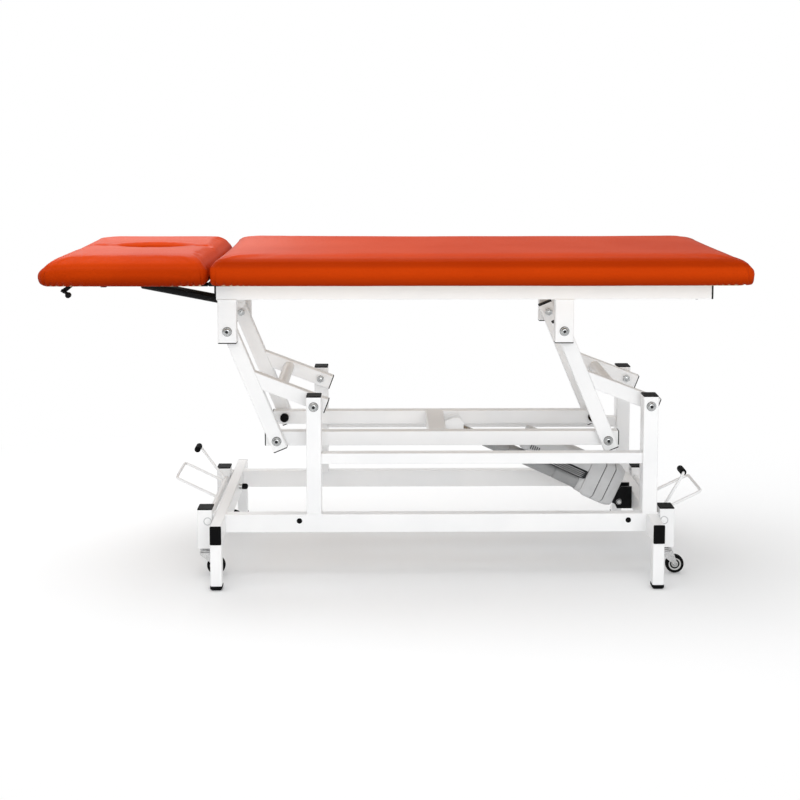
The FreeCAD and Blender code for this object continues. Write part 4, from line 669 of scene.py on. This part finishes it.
def shape_pad(pad, low, high, cap, start_x, depth, fall, spare, ends):
    """Blows the pad up, shapes its sides and ends, which may stand proud of its box by the spare,
    and folds its corners."""
    half, centre = (high - low) / 2, (high + low) / 2
    limits = (low - np.array(spare[0]) * MM, high + np.array(spare[1]) * MM)
    inflate(pad, cap * MM, low[2] + 9 * MM)
    subdivided(pad)
    ripple(pad, start_x, depth * MM)
    shape_sides(pad, half, centre, low[2], fall)
    for end in ends:
        shape_end(pad, low[2], limits, *end)
    fold_corners(pad, half, centre, low[2])


def hollow_out(pad, board):
    """Cuts the board's recess into the underside, with 0.3 mm to spare."""
    low, high = span(board)
    low, high = low - [0.3 * MM, 0.3 * MM, 30.3 * MM], high + 0.3 * MM
    cutter = placed("cutter", bpy.data.meshes.new("cutter"))
    x, y, z = zip(low, high)
    corners = [(a, b, c) for a in x for b in y for c in z]
    sides = [(0, 1, 3, 2), (4, 6, 7, 5), (0, 4, 5, 1), (2, 3, 7, 6), (0, 2, 6, 4), (1, 5, 7, 3)]
    cutter.data.from_pydata(corners, [], sides)
    cut = pad.modifiers.new("recess", "BOOLEAN")
    cut.operation = "DIFFERENCE"
    cut.solver = "MANIFOLD"
    cut.object = cutter
    baked(pad)
    bpy.data.objects.remove(cutter)


def finish_pad(pad, body, node):
    """Smooth shading, leatherette, and its place in the frame."""
    pad.data.materials.clear()
    pad.data.materials.append(HIDE)
    pad.data.shade_smooth()
    pad.data.set_sharp_from_angle(angle=math.radians(50))
    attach(pad, body)
    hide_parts(node)
    print(pad.name, len(pad.data.polygons), "faces")


# %% Slab profile


def slab_profile(height, top_round, low_round):
    """Rows of (inset, level) from the underside round the edges to the top: two quarter circles."""
    t = np.linspace(0, np.pi / 2, 7)
    low = np.stack([low_round * (1 - np.sin(t)), low_round * (1 - np.cos(t))], -1)
    top = np.stack([top_round * (1 - np.cos(t)), height - top_round * (1 - np.sin(t))], -1)
    return np.concatenate([low, top])


def slab(low, high, corner, top_round, low_round):
    """Closed slab between two corners of a box, made of rounded rectangles that shrink by the
    profile's insets."""
    half, centre = (high - low) / 2, (high + low) / 2
    rows = []
    for inset, level in slab_profile(2 * half[2], top_round, low_round):
        flat = outline(half[0] - inset, half[1] - inset, corner - 0.6 * inset, steps=10)
        rows.append(np.column_stack([flat + centre[:2], np.full(len(flat), low[2] + level)]))
    return grid(rows)


main_low, main_high = span("main_cushion")
shrink = np.array([0.5 * MM, PAD_SHRINK, 0])
main_start = slab(main_low + shrink, main_high - shrink - [0, 0, 2 * MM], 26 * MM, 27 * MM, 11 * MM)
main_pad = remeshed("main_pad", main_start, VOXEL)
print("main pad", len(main_pad.data.vertices), "points")

# %% Main pad
shape_pad(main_pad, main_low, main_high, cap=5.5, start_x=(main_low[0] + main_high[0]) / 2, depth=0.35,
          fall=2, spare=((2, 5, 0), (5, 5, 4)),
          ends=[(main_high[0], 1, 13, 3.5, 11), (main_low[0], -1, 1, 1.5, 9)])
hollow_out(main_pad, "main_board")
finish_pad(main_pad, "top_frame", "main_cushion")

# %% [markdown]
# ## Headrest pad
# The headrest has a pointed oval hole for the face. The leatherette is drawn into it over a padded
# rim, which leaves a crease that runs out from each point of the oval.
# Every ring is measured along rays from the middle of the hole, so that the outer edge and the hole
# share one grid that closes on itself both ways.

# %% Headrest pad
rest_low, rest_high = span("headrest_cushion")
rest_half = (rest_high - rest_low) / 2
rest_centre = (rest_high + rest_low) / 2
HOLE_X = rest_high[0] - 188 * MM
HOLE_HALF = np.array([104.0, 50.0]) * MM


def lens_reach(angle, half_long, half_wide):
    """Distance from the middle of a pointed oval to its edge. Each side is an arc of a circle of
    radius R about a point R - b away, so r solves r^2 + 2 r s (R - b) + (R - b)^2 = R^2."""
    radius = (half_long ** 2 + half_wide ** 2) / (2 * half_wide)
    off = radius - half_wide
    rise = np.abs(np.sin(angle))
    return -rise * off + np.sqrt((rise * off) ** 2 + radius ** 2 - off ** 2)


def dense_outline(inset):
    """Rounded outline with extra points on its straight runs."""
    flat = outline(rest_half[0] - inset, rest_half[1] - inset, 29 * MM - 0.5 * inset, steps=16)
    share = np.linspace(0, 1, 24, endpoint=False)[:, None]
    after = np.roll(flat, -1, 0)
    return (flat[:, None] * (1 - share) + after[:, None] * share).reshape(-1, 2)


ANGLES = np.linspace(-np.pi, np.pi, 480, endpoint=False)
rows = []
for inset, level in slab_profile(rest_high[2] - rest_low[2] - 2 * MM, 33 * MM, 11 * MM):
    flat = dense_outline(inset + PAD_SHRINK) + [rest_centre[0] - HOLE_X, 0]
    bearing = np.arctan2(flat[:, 1], flat[:, 0])
    reach = np.interp(ANGLES, *(v[np.argsort(bearing)] for v in (bearing, np.hypot(*flat.T))),
                      period=2 * np.pi)
    rows.append((reach, level))
top_level = rows[-1][1]
for wider, level in ((11.5, 0), (8, 0.8), (5.1, 2.6), (3.3, 6), (2.5, 12)):
    rows.append((lens_reach(ANGLES, *(HOLE_HALF + wider * MM)), top_level - level * MM))
for wider, level in ((2.5, 8 * MM), (5, 0.0)):
    rows.append((lens_reach(ANGLES, *(HOLE_HALF + wider * MM)), level))
points = np.array([
    np.stack([HOLE_X + reach * np.cos(ANGLES), reach * np.sin(ANGLES),
              np.full(len(ANGLES), rest_low[2] + level)], -1)
    for reach, level in rows
])
headrest_start = grid(points, wrap_rows=True)
headrest_pad = remeshed("headrest_pad", headrest_start, HEADREST_VOXEL)
shape_pad(headrest_pad, rest_low, rest_high, cap=5.0, start_x=rest_centre[0] + 0.4, depth=0.3,
          fall=13, spare=((9, 5, 0), (1, 5, 4)), ends=[(rest_low[0], -1, 12, 4, 10)])


def crease_hole(pad):
    """Presses a crease outwards from each point of the oval, and raises a soft rim round it."""
    places, outward = surface(pad)
    x = places[:, 0] - HOLE_X
    y = places[:, 1]
    beyond = np.abs(x) - HOLE_HALF[0] + 6 * MM
    up = np.clip(outward[:, 2], 0, 1)
    run = np.clip(beyond / (6 * MM), 0, 1) * np.exp(-np.maximum(beyond, 0) / (10 * MM))
    crease = bell(y, 3.0 * MM + 0.12 * np.maximum(beyond, 0)) * run * 4.5 * MM
    shoulder = bell(np.abs(y) - 11 * MM, 7 * MM) * run * 1.4 * MM
    past = np.hypot(x, y) - lens_reach(np.arctan2(y, x), *HOLE_HALF)
    rim = bell(past - 24 * MM, 12 * MM) * 1.2 * MM - bell(past - 46 * MM, 14 * MM) * 0.8 * MM
    move_to(pad, places + outward * ((shoulder - crease + rim) * up)[:, None])


crease_hole(headrest_pad)
hollow_out(headrest_pad, "headrest_board")
finish_pad(headrest_pad, "headrest", "headrest_cushion")

# %% Main board, rounded so that none shows past the padding's folded corner
low, high = span("main_board")
half, centre = (high - low) / 2, (high + low) / 2
rows = []
for inset, level in ((1.2 * MM, 0.0), (0, 1.2 * MM), (0, 13.8 * MM), (1.2 * MM, 15 * MM)):
    flat = outline(half[0] - inset, half[1] - inset, 24 * MM, steps=9) + centre[:2]
    rows.append(np.column_stack([flat, np.full(len(flat), low[2] + level)]))
piece("main_base_board", [grid(rows)], "top_frame", PLY,
      ["main_board"])

# %% [markdown]
# ## Bolts and nuts
# Every pivot has a button-head bolt on a washer, with a hexagon socket in the head and a nut inside.
# Where a turned row must be a hexagon, its radius follows cos(30) / cos(angle from the nearest flat).

# %% Bolts and nuts


def hex_lathe(profile, place, way=1):
    """Rows of (station, radius, share of hexagon) in mm about the Y axis, stations counted outwards."""
    t = np.linspace(0, 2 * np.pi, 48, endpoint=False)
    straight = np.cos(np.pi / 6) / np.cos(np.mod(t, np.pi / 3) - np.pi / 6)
    rows = []
    for station, radius, share in profile:
        reach = radius * ((1 - share) + share * straight)
        rows.append(np.stack([reach * np.sin(t), 0 * t + way * station, reach * np.cos(t)], -1))
    return grid(np.array(rows) * MM + np.asarray(place, float))


def bolt_head(*place):
    """Washer, domed head and socket, standing outwards from the near face."""
    washer = [(0, 6.2, 0), (0, 11.6, 0), (0.5, 12, 0), (1.5, 12, 0), (2, 11.5, 0), (2, 6.2, 0)]
    head = [(1.9, 6.5, 0), (2, 10.1, 0), (2.6, 10.5, 0), (4.2, 10.3, 0), (6.0, 9.0, 0), (7.2, 7.0, 0),
            (7.9, 5.4, 0), (7.9, 4.9, 1), (4.4, 4.6, 1), (4.2, 2.0, 1)]
    return [hex_lathe(rows, place, -1) for rows in (washer, head)]


def bolt_shade(*place):
    """Painted shadow: a dark ring round a washer for its contact shadow, and painted shade at the bottom of
    the socket.
    """
    gap = [(0, 11, 0), (0, 12.9, 0), (0.35, 12.9, 0), (0.35, 11, 0)]
    well = [(4.3, 1.0, 1), (4.3, 4.5, 1), (4.7, 4.5, 1), (4.7, 1.0, 1)]
    return [hex_lathe(rows, place, -1) for rows in (gap, well)]


def nut_body(*place):
    """Hexagon nut with turned corners and the bolt's end, standing inwards."""
    rows = [(0, 9.6, 1), (0.3, 10.9, 1), (8.2, 10.9, 1), (9.4, 9.5, 0.4), (9.4, 6.4, 0), (8.9, 6.2, 0),
            (9.6, 5.8, 0), (9.9, 5.2, 0)]
    return hex_lathe(rows, place)


def bolted(name, body, replaces, heads, others):
    """Bolt heads with their painted shadows on both sides, with nuts and bushes, on one body."""
    parts = [part for head in heads for part in bolt_head(*head)] + others
    shades = [part for head in heads for part in bolt_shade(*head)]
    piece(f"{name}_bolts", both(parts), body, ZINC, [replaces])
    # Painted shadow round the washers and painted shade in the sockets.
    piece(f"{name}_bolt_shades", both(shades), body, DARK)


BOLT_REACH = 8 * MM
WASHER = 12 * MM
ARM = 30 * MM
BUSH = [(0, 12.4, 0), (0.5, 13, 0), (9.5, 13, 0), (10, 12.4, 0)]
bolt_low, bolt_high = span("post_pivot_bolts")
pivot_z = (bolt_low[2] + bolt_high[2]) / 2
post_face = bolt_low[1] + BOLT_REACH
arm_inner = span("head_crank_levers")[0][1] + ARM
pivots_x = (bolt_low[0] + 13 * MM, bolt_high[0] - 13 * MM)
bolted("post", "base", "post_pivot_bolts", [(x, post_face, pivot_z) for x in pivots_x],
       [nut_body(x, arm_inner, pivot_z) for x in pivots_x]
       + [hex_lathe(BUSH, (x, post_face + 50 * MM, pivot_z)) for x in pivots_x])
for end in ("head", "foot"):
    low, high = span(f"{end}_crank_bolts")
    arm_outer = span(f"{end}_crank_levers")[0][1]
    top = (low[0] + WASHER, low[1] + BOLT_REACH, high[2] - WASHER)
    bottom = (high[0] - WASHER, arm_outer, low[2] + WASHER)
    bolted(end, f"crank_{end}", f"{end}_crank_bolts", [top, bottom],
           [nut_body(top[0], arm_inner, top[2]), nut_body(bottom[0], arm_inner + 32 * MM, bottom[2])])
print("bolts on", len(pivots_x) + 4, "axes")

# %% [markdown]
# ## Jack
# The jack is drawn level, with its rear pin at the origin and its rod towards -X, and is turned onto
# its line. The motor is a rounded box with cooling ribs and slots on both sides. The gear case is a
# near-black core under three mouldings with curved seams between them; the core is painted shade
# that shows in the seams. A near-black box under the motor is painted shadow, and the barrel's
# darker grey is painted shade.

# %% Jack
JACK_PIN = np.array([634.5, 0.0, 144.0]) * MM
JACK_SLOPE = 24.6


def jack_piece(name, parts, finish=GREY, replaces=(), crease=35.0):
    """Piece of the jack from parts drawn level, turned onto the jack's line."""
    turn = np.array(Matrix.Rotation(math.radians(JACK_SLOPE), 3, "Y")).T
    piece(name, [(points @ turn + JACK_PIN, faces) for points, faces in parts], "actuator_body", finish,
          replaces, crease)


def rounded_rows(rows, steps=7):
    """Closed body along X from rows of (x, half width, bottom, top, corner radius, bow): the corners
    are round, and the bow pushes the middle of the row along X by bow * (1 - (z / half height)^2)."""
    out = []
    for x, half_wide, bottom, top, corner, bow in rows:
        half_high = (top - bottom) / 2
        flat = outline(half_wide, half_high, corner, steps)
        lean = bow * (1 - (flat[:, 1] / half_high) ** 2)
        out.append(np.stack([x + lean, flat[:, 0], flat[:, 1] + (top + bottom) / 2], -1))
    return grid(np.array(out) * MM)


barrel_rows = [(-424.5, 15.6), (-425, 17.2), (-423.5, 18.4), (-387, 18.4), (-385, 19.0), (-383.5, 20),
               (-352, 20), (-351.4, 18.6), (-348.6, 18.6), (-348, 20), (-206, 20), (-205.4, 18.4),
               (-202.6, 18.4), (-202, 20.4), (-152, 21.2), (-128, 22.6), (-118, 23.0), (-116, 20)]
# The barrel's darker grey is painted shade.
jack_piece("jack_barrel", [lathe(barrel_rows, 48)], SHADED_BARREL_GREY, ["actuator_barrel"])
nose_rows = [(-323.5, 31, 26.5, 85.5, 13, 0), (-318, 33.5, 24.6, 87.4, 13.5, 0), (-310, 34.6, 24, 88, 14, 0),
             (-306, 34.6, 24, 88, 14, 0), (-305, 33.2, 25.4, 86.6, 13, 0), (-302.4, 33.2, 25.4, 86.6, 13, 0),
             (-301.4, 34.8, 24, 88, 14, 0), (-268, 35, 24, 88, 14, 0)]
jack_piece("jack_motor_nose", [rounded_rows(nose_rows)], replaces=["actuator_motor"])
can_rows = [(-269, 34.4, 40, 87, 12, 0), (-120, 34.4, 40, 87, 12, 0), (-117, 31, 42, 84, 12, 0)]
jack_piece("jack_motor", [rounded_rows(can_rows)])
# Painted shadow: a near-black box under the motor stands for the shadowed gap between motor and barrel.
shadow_gap_rows = [(-268, 31.5, 20, 46, 9, 0), (-260, 33, 17, 48, 10, 0), (-124, 33, 17, 48, 10, 0),
              (-118, 31, 19, 46, 9, 0)]
jack_piece("jack_painted_shadow_gap", [rounded_rows(shadow_gap_rows)], DARK)


def rib(x_start, x_end, y, z, wide, proud):
    """Half-round rib along X on a side face, tapering to nothing at both ends."""
    x = np.linspace(x_start, x_end, 14)
    share = np.clip(np.minimum(x - x_start, x_end - x) / 6, 0, 1) ** 0.5
    flat = ring(1.0, 10)
    rows = [np.stack([0 * flat[:, 0] + here, y + proud * size * flat[:, 0],
                      z + wide * flat[:, 1] * (0.3 + 0.7 * size)], -1) for here, size in zip(x, share)]
    return grid(np.array(rows) * MM)


def vent(x, way):
    """Raised slot in a side of the motor's nose."""
    foot = outline(1.5, 7, 1.4, 4)
    rows = [np.stack([x + narrow * foot[:, 0], 0 * foot[:, 0] + way * level, 43 + foot[:, 1]], -1)
            for narrow, level in ((1, 33.0), (1, 35.0), (0.6, 35.4))]
    return grid(np.array(rows) * MM)


ribs = [rib(-256, -126, way * 33, z, 0.9, 1.4) for way in (-1, 1) for z in (22.5, 27.5, 32.5, 37.5)]
ribs += [rib(-262, -128, way * 34.2, z, 1.2, 1.2) for way in (-1, 1) for z in (52, 62, 72)]
jack_piece("jack_ribs", ribs)
jack_piece("jack_vents", [vent(-298 + 6 * step, way) for way in (-1, 1) for step in range(5)], BLACK)

BOW = 13.0
# Painted shade: the core is near black so that the seams between the mouldings read as shaded grooves.
seam_shade_rows = [(-117, 34, -22, 92, 13, 0), (-100, 38.2, -24, 94, 13, BOW * 0.5),
             (-52, 38.6, -24, 94, 13, BOW), (-40, 37, -22, 91, 13, BOW * 0.8)]
jack_piece("jack_case_seam_shade", [rounded_rows(seam_shade_rows, 9)], DARK)


def shell(front, rear, bow_front, bow_rear, rows):
    """One moulding of the case: an edge that turns in at both ends, with rows of shape between."""

    def edge(x, row, inset, bow):
        half, bottom, top, corner = row
        return x, half - inset, bottom + inset, top - inset, corner - min(inset, 2), bow

    made = [edge(front, rows[0], 2.6, bow_front), edge(front + 0.5, rows[0], 0.5, bow_front)]
    for part, row in zip(np.linspace(0, 1, len(rows)), rows):
        x = front + 1.5 + part * (rear - front - 3)
        made.append((x, *row, bow_front + part * (bow_rear - bow_front)))
    made += [edge(rear - 0.5, rows[-1], 0.5, bow_rear), edge(rear, rows[-1], 2.6, bow_rear)]
    return rounded_rows(made, 9)


WIDEST = (41, -26, 96, 14)
case = [
    shell(-118, -86, 0, BOW, [(36, -22, 92, 13), (39.4, -25.4, 95, 14), (40.8, -26, 96, 14), WIDEST]),
    shell(-84, -58, BOW, BOW * 1.3, [WIDEST, WIDEST]),
    shell(-56, -22, BOW * 1.3, BOW * 0.3,
          [WIDEST, (40.6, -25.6, 95, 14), (39.4, -24.4, 93, 14), (36.5, -21, 89, 14)]),
    rounded_rows([(-131, 24, -23.6, 24, 22, 0), (-128, 26, -24.6, 27, 23, 0), (-122, 29, -25, 33, 24, 0),
                  (-112, 31, -25.6, 40, 24, 0)], 9),
]
jack_piece("jack_case", case, replaces=["actuator_gear_housing"], crease=28)
tail_rows = [(-34, 15.4, -13, 13, 4, 0), (-10, 15.8, -13.6, 13.6, 4, 0), (-6, 16, -13, 13, 5, 0),
             (4, 16, -12.4, 12.4, 7, 0), (10, 15.6, -9, 9, 7, 0), (13.6, 14, -4, 4, 3.6, 0)]
jack_piece("jack_tail", [rounded_rows(tail_rows)], DARK)
nut_rows = [(0, 7.6, 0), (0.8, 8.2, 0), (1.0, 6.4, 1), (4.4, 6.4, 1), (5.0, 5.4, 0.5), (5.0, 4.2, 0)]
nut_place = (JACK_PIN[0], span("actuator_bracket")[0][1] + 1.5 * MM, JACK_PIN[2])
piece("jack_pin_nuts", both([hex_lathe(nut_rows, nut_place, -1)]), "base", STEEL)
print("jack drawn along", JACK_SLOPE, "degrees")

# %% [markdown]
# ## Castors
# A castor is a fork under a ball race, and a wheel with a black tyre on a pale hub. The race is a stack
# of turned rings. The cheeks of the fork are plates that narrow to a round boss at the axle.

# %% Castors


def plate(flat, low, high, bevel):
    """Plate in the XZ plane between two places of Y, its rims bevelled by drawing the outline in
    towards its middle."""
    flat = np.asarray(flat, float)
    middle = flat.mean(0)
    away = flat - middle
    inner = flat - away / np.linalg.norm(away, axis=1, keepdims=True) * bevel
    rows = [np.stack([edge[:, 0], 0 * edge[:, 0] + level, edge[:, 1]], -1)
            for edge, level in ((inner, low), (flat, low + bevel), (flat, high - bevel), (inner, high))]
    return grid(rows)


def cheek_outline(trail, top, axle, boss):
    """Straight from the crown's two ends to tangents on the boss, closed round below it."""
    front, back = -15.5 * MM, trail * 0.75
    down = np.linspace(0.1 * np.pi, -1.15 * np.pi, 18)
    round_end = np.stack([trail + boss * np.cos(down), axle + boss * np.sin(down)], -1)
    crown = np.array([[front, top - 7 * MM], [front, top], [back, top]])
    return np.concatenate([crown, round_end])


RACE_ROWS = [[(low, wide - 1.4), (low + 0.9, wide), (high - 1.2, wide), (high, wide - 2.2)]
             for low, high, wide in ((0, 4.6, 16.2), (5.4, 9.4, 17), (10.2, 13, 15.2))]
RACE_CORE = [(0.5, 9), (12.6, 9)]
RACE_HEIGHT = 13 * MM
TYRE_ROWS = [(-6, 16.6), (-8.4, 17.0), (-9, 18.6), (-8.7, 22.4), (-7, 24.3), (-4, 24.9)]
TYRE_ROWS += [(0, 25)] + [(-y, radius) for y, radius in reversed(TYRE_ROWS)]
HUB_ROWS = [(-10.3, 3), (-10.3, 6.6), (-9.4, 7.6), (-6.6, 8.4), (-5.4, 10), (-5.4, 12.6), (-7.6, 14.2),
            (-8.2, 16.0), (-7.4, 17.2)]
HUB_ROWS += [(-y, radius) for y, radius in reversed(HUB_ROWS)]
AXLE_ROWS = [(0, 3, 0), (15.2, 3, 0), (15.2, 4.6, 1), (18.2, 4.6, 1), (18.8, 3.8, 0)]
for corner in ("head_near", "head_far", "foot_near", "foot_far"):
    fork_low, fork_high = span(f"castor_fork_{corner}")
    axle = sum(span(f"castor_wheel_{corner}")) / 2
    swivel_x = fork_low[0] + 17 * MM
    crown_z = fork_high[2] - RACE_HEIGHT
    crown = (swivel_x, axle[1], crown_z)
    fork = [lathe(rows, 36, "Z", crown) for rows in RACE_ROWS] + [lathe(RACE_CORE, 24, "Z", crown)]
    trail = axle[0] - swivel_x
    fork.append(block((swivel_x - 16.6 * MM, axle[1] - 13.4 * MM, crown_z - 2.5 * MM),
                      (swivel_x + trail * 0.6, axle[1] + 13.4 * MM, crown_z), 5 * MM, 0.7 * MM))
    shape = cheek_outline(trail, crown_z - 0.4 * MM, axle[2], 7.0 * MM) + [swivel_x, 0]
    for way in (-1, 1):
        middle_y = axle[1] + way * 12.2 * MM
        fork.append(plate(shape, middle_y - 1.2 * MM, middle_y + 1.2 * MM, 0.4 * MM))
    wheel = f"wheel_{corner}"
    piece(f"fork_{corner}", fork, f"fork_{corner}", STEEL, [f"castor_fork_{corner}"])
    piece(f"tyre_{corner}", [lathe(TYRE_ROWS, 56, "Y", axle)], wheel, RUBBER,
          [f"castor_wheel_{corner}"])
    piece(f"hub_{corner}", [lathe(HUB_ROWS, 48, "Y", axle)], wheel, HUB)
    piece(f"axle_{corner}", [hex_lathe(AXLE_ROWS, axle, way) for way in (-1, 1)], wheel, ZINC)
print("four castors")

# %% [markdown]
# ## Pedals
# Each pedal is round bar: a shaft through both castor housings, a loop to step on, bent from one
# bar, and a release rod with a black grip.

# %% Pedals
WIRE = 4 * MM
SHAFT = 9 * MM
SHAFT_HEIGHT = 155 * MM
ROD_LENGTH = 130 * MM
ROD_SIDE = 172 * MM
LOOP_SLOPE = math.radians(26.0)
LOOP = np.array([-131 * math.cos(LOOP_SLOPE), 131 * math.sin(LOOP_SLOPE)]) * MM
LOOP_SIDES = np.array([-10, 155]) * MM
shafts_x = []
for end, way, rod_slope in (("head", 1, 54.0), ("foot", -1, 60.0)):
    low, high = span(f"pedal_{end}")
    shaft_x = (high[0] - SHAFT) if way > 0 else (low[0] + SHAFT)
    shafts_x.append(shaft_x)
    inner, outer = LOOP_SIDES
    corners = [(0, inner, 0), (LOOP[0], inner, LOOP[1]), (LOOP[0], outer, LOOP[1]), (0, outer, 0)]
    loop = sweep(bent_path(corners, 15 * MM, 9), ring(WIRE, 14), up=(LOOP[1], 0, -LOOP[0]))
    slope = math.radians(rod_slope)
    tip_x, tip_z = -math.cos(slope) * ROD_LENGTH, math.sin(slope) * ROD_LENGTH
    corners = [(0, ROD_SIDE, 0), (tip_x, ROD_SIDE, tip_z), (tip_x, ROD_SIDE - 44 * MM, tip_z)]
    rod = sweep(bent_path(corners, 9 * MM, 8), ring(WIRE, 14), up=(tip_z, 0, -tip_x))
    shaft = lathe([(-236, 7.4), (-235.2, 9), (235.2, 9), (236, 7.4)], 32, "Y")
    place = [shaft_x, 0, SHAFT_HEIGHT]
    made = [(points * [way, way, 1] + place, faces) for points, faces in (loop, rod, shaft)]
    piece(f"pedal_bars_{end}", made, f"pedal_{end}", COAT, [f"pedal_{end}"])
    low, high = span(f"pedal_grip_{end}")
    half = (high[1] - low[1]) / 2 / MM
    rows = [(-half, 1), (-half, 7), (-half + 1.2, 8.6), (-half + 3, 9)]
    for step in range(1, 7):
        s = -half + 3 + step * (2 * half - 6) / 7
        rows += [(s - 1.1, 9), (s - 0.6, 8.3), (s + 0.6, 8.3), (s + 1.1, 9)]
    rows += [(half - 3, 9), (half - 1.2, 8.6), (half, 7), (half, 4.2)]
    piece(f"grip_{end}", [lathe(rows, 32, "Y", (low + high) / 2)], f"pedal_{end}", BLACK,
          [f"pedal_grip_{end}"])
print("pedal shafts at", [round(x, 3) for x in shafts_x])

# %% [markdown]
# ## Buffer, beads of weld, shaft rings and screws
# A rubber buffer in a steel cup stands on the head cross tube. Where tubes meet there is a bead of weld
# under the paint, a thin sweep whose radius ripples a little. Where the pedals' shafts leave the castor
# housings, a grey ring is painted shade for the gap round each shaft, and a screw shows under each top rail.

# %% Buffer and welds
low, high = span("cross_tube_buffer")
place = (low[0], (low[1] + high[1]) / 2, (low[2] + high[2]) / 2)
length = (high[0] - low[0]) / MM
cup = lathe([(0, 6), (0, 8.6), (8, 8.6), (8.6, 7.6)], 32, "X", place)
piece("buffer_cup", [cup], "base", ZINC)
rows = [(7, 7.4), (8.6, 8.3), (18, 8.5), (length - 3.6, 7.8), (length - 1, 5.6), (length, 3)]
piece("buffer_rubber", [lathe(rows, 32, "X", place)], "base", RUBBER, ["cross_tube_buffer"])


def bead(corners):
    """Closed bead of weld round a joint: a small ring swept along a closed path of straight runs."""
    corners = np.asarray(corners, float)
    share = np.linspace(0, 1, 14, endpoint=False)[:, None]
    path = np.concatenate([a * (1 - share) + b * share for a, b in zip(corners, np.roll(corners, -1, 0))])
    size = 1 + 0.16 * np.sin(np.arange(len(path)) * 2.4)
    up = np.eye(3)[np.argmin(np.ptp(path, axis=0))]
    return sweep(path, ring(2.0 * MM, 8), up, closed=True, scale=size)


def box_bead(centre, half_x, half_y):
    x, y, z = centre
    return bead([(x + a * half_x, y + b * half_y, z) for a, b in ((-1, -1), (1, -1), (1, 1), (-1, 1))])


RAIL_Y = (235 - 15) * MM
TOP_RAIL_Y = 192 * MM
HANGER = 25 * MM
rail_low, rail_high = span("base_rails")
joints = [box_bead((x, -RAIL_Y, rail_high[2] + 0.4 * MM), 20 * MM, 14.6 * MM) for x in pivots_x]
for x in (rail_low[0] + 0.4 * MM, rail_high[0] - 0.4 * MM):
    joints.append(bead([(x, -RAIL_Y + a * 14.6 * MM, z - b * MM) for a, z, b in
                        ((-1, rail_low[2], -1), (-1, rail_high[2], 1), (1, rail_high[2], 1),
                         (1, rail_low[2], -1))]))
piece("base_welds", both(joints), "base", COAT)
# Painted shade: a grey ring round each pedal shaft at the castor housing stands for the shaded gap round the
# shaft.
rows = [(0, 9.2, 0), (0, 11.4, 0), (0.5, 11.2, 0), (0.5, 9.2, 0)]
bushes = [hex_lathe(rows, (x, -235 * MM, SHAFT_HEIGHT), -1) for x in shafts_x]
piece("shaft_gap_shade_rings", both(bushes), "base", GREY)
screw_x = span("top_end_plugs")[1][0] - 42 * MM
under = span("top_rails")[0][2]
tips = [lathe([(-2.2, 3), (-1.6, 5), (0.5, 5)], 20, "Z", (screw_x, -TOP_RAIL_Y, under))]
piece("rail_screws", both(tips), "top_frame", BLACK)
hanger_low, hanger_high = span("hangers")
joints = [box_bead((x, -TOP_RAIL_Y, under - 0.4 * MM), HANGER, 15 * MM)
          for x in (hanger_low[0] + HANGER, hanger_high[0] - HANGER)]
piece("top_welds", both(joints), "top_frame", COAT)
print("buffer and welds in place")

rest_low, rest_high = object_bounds()
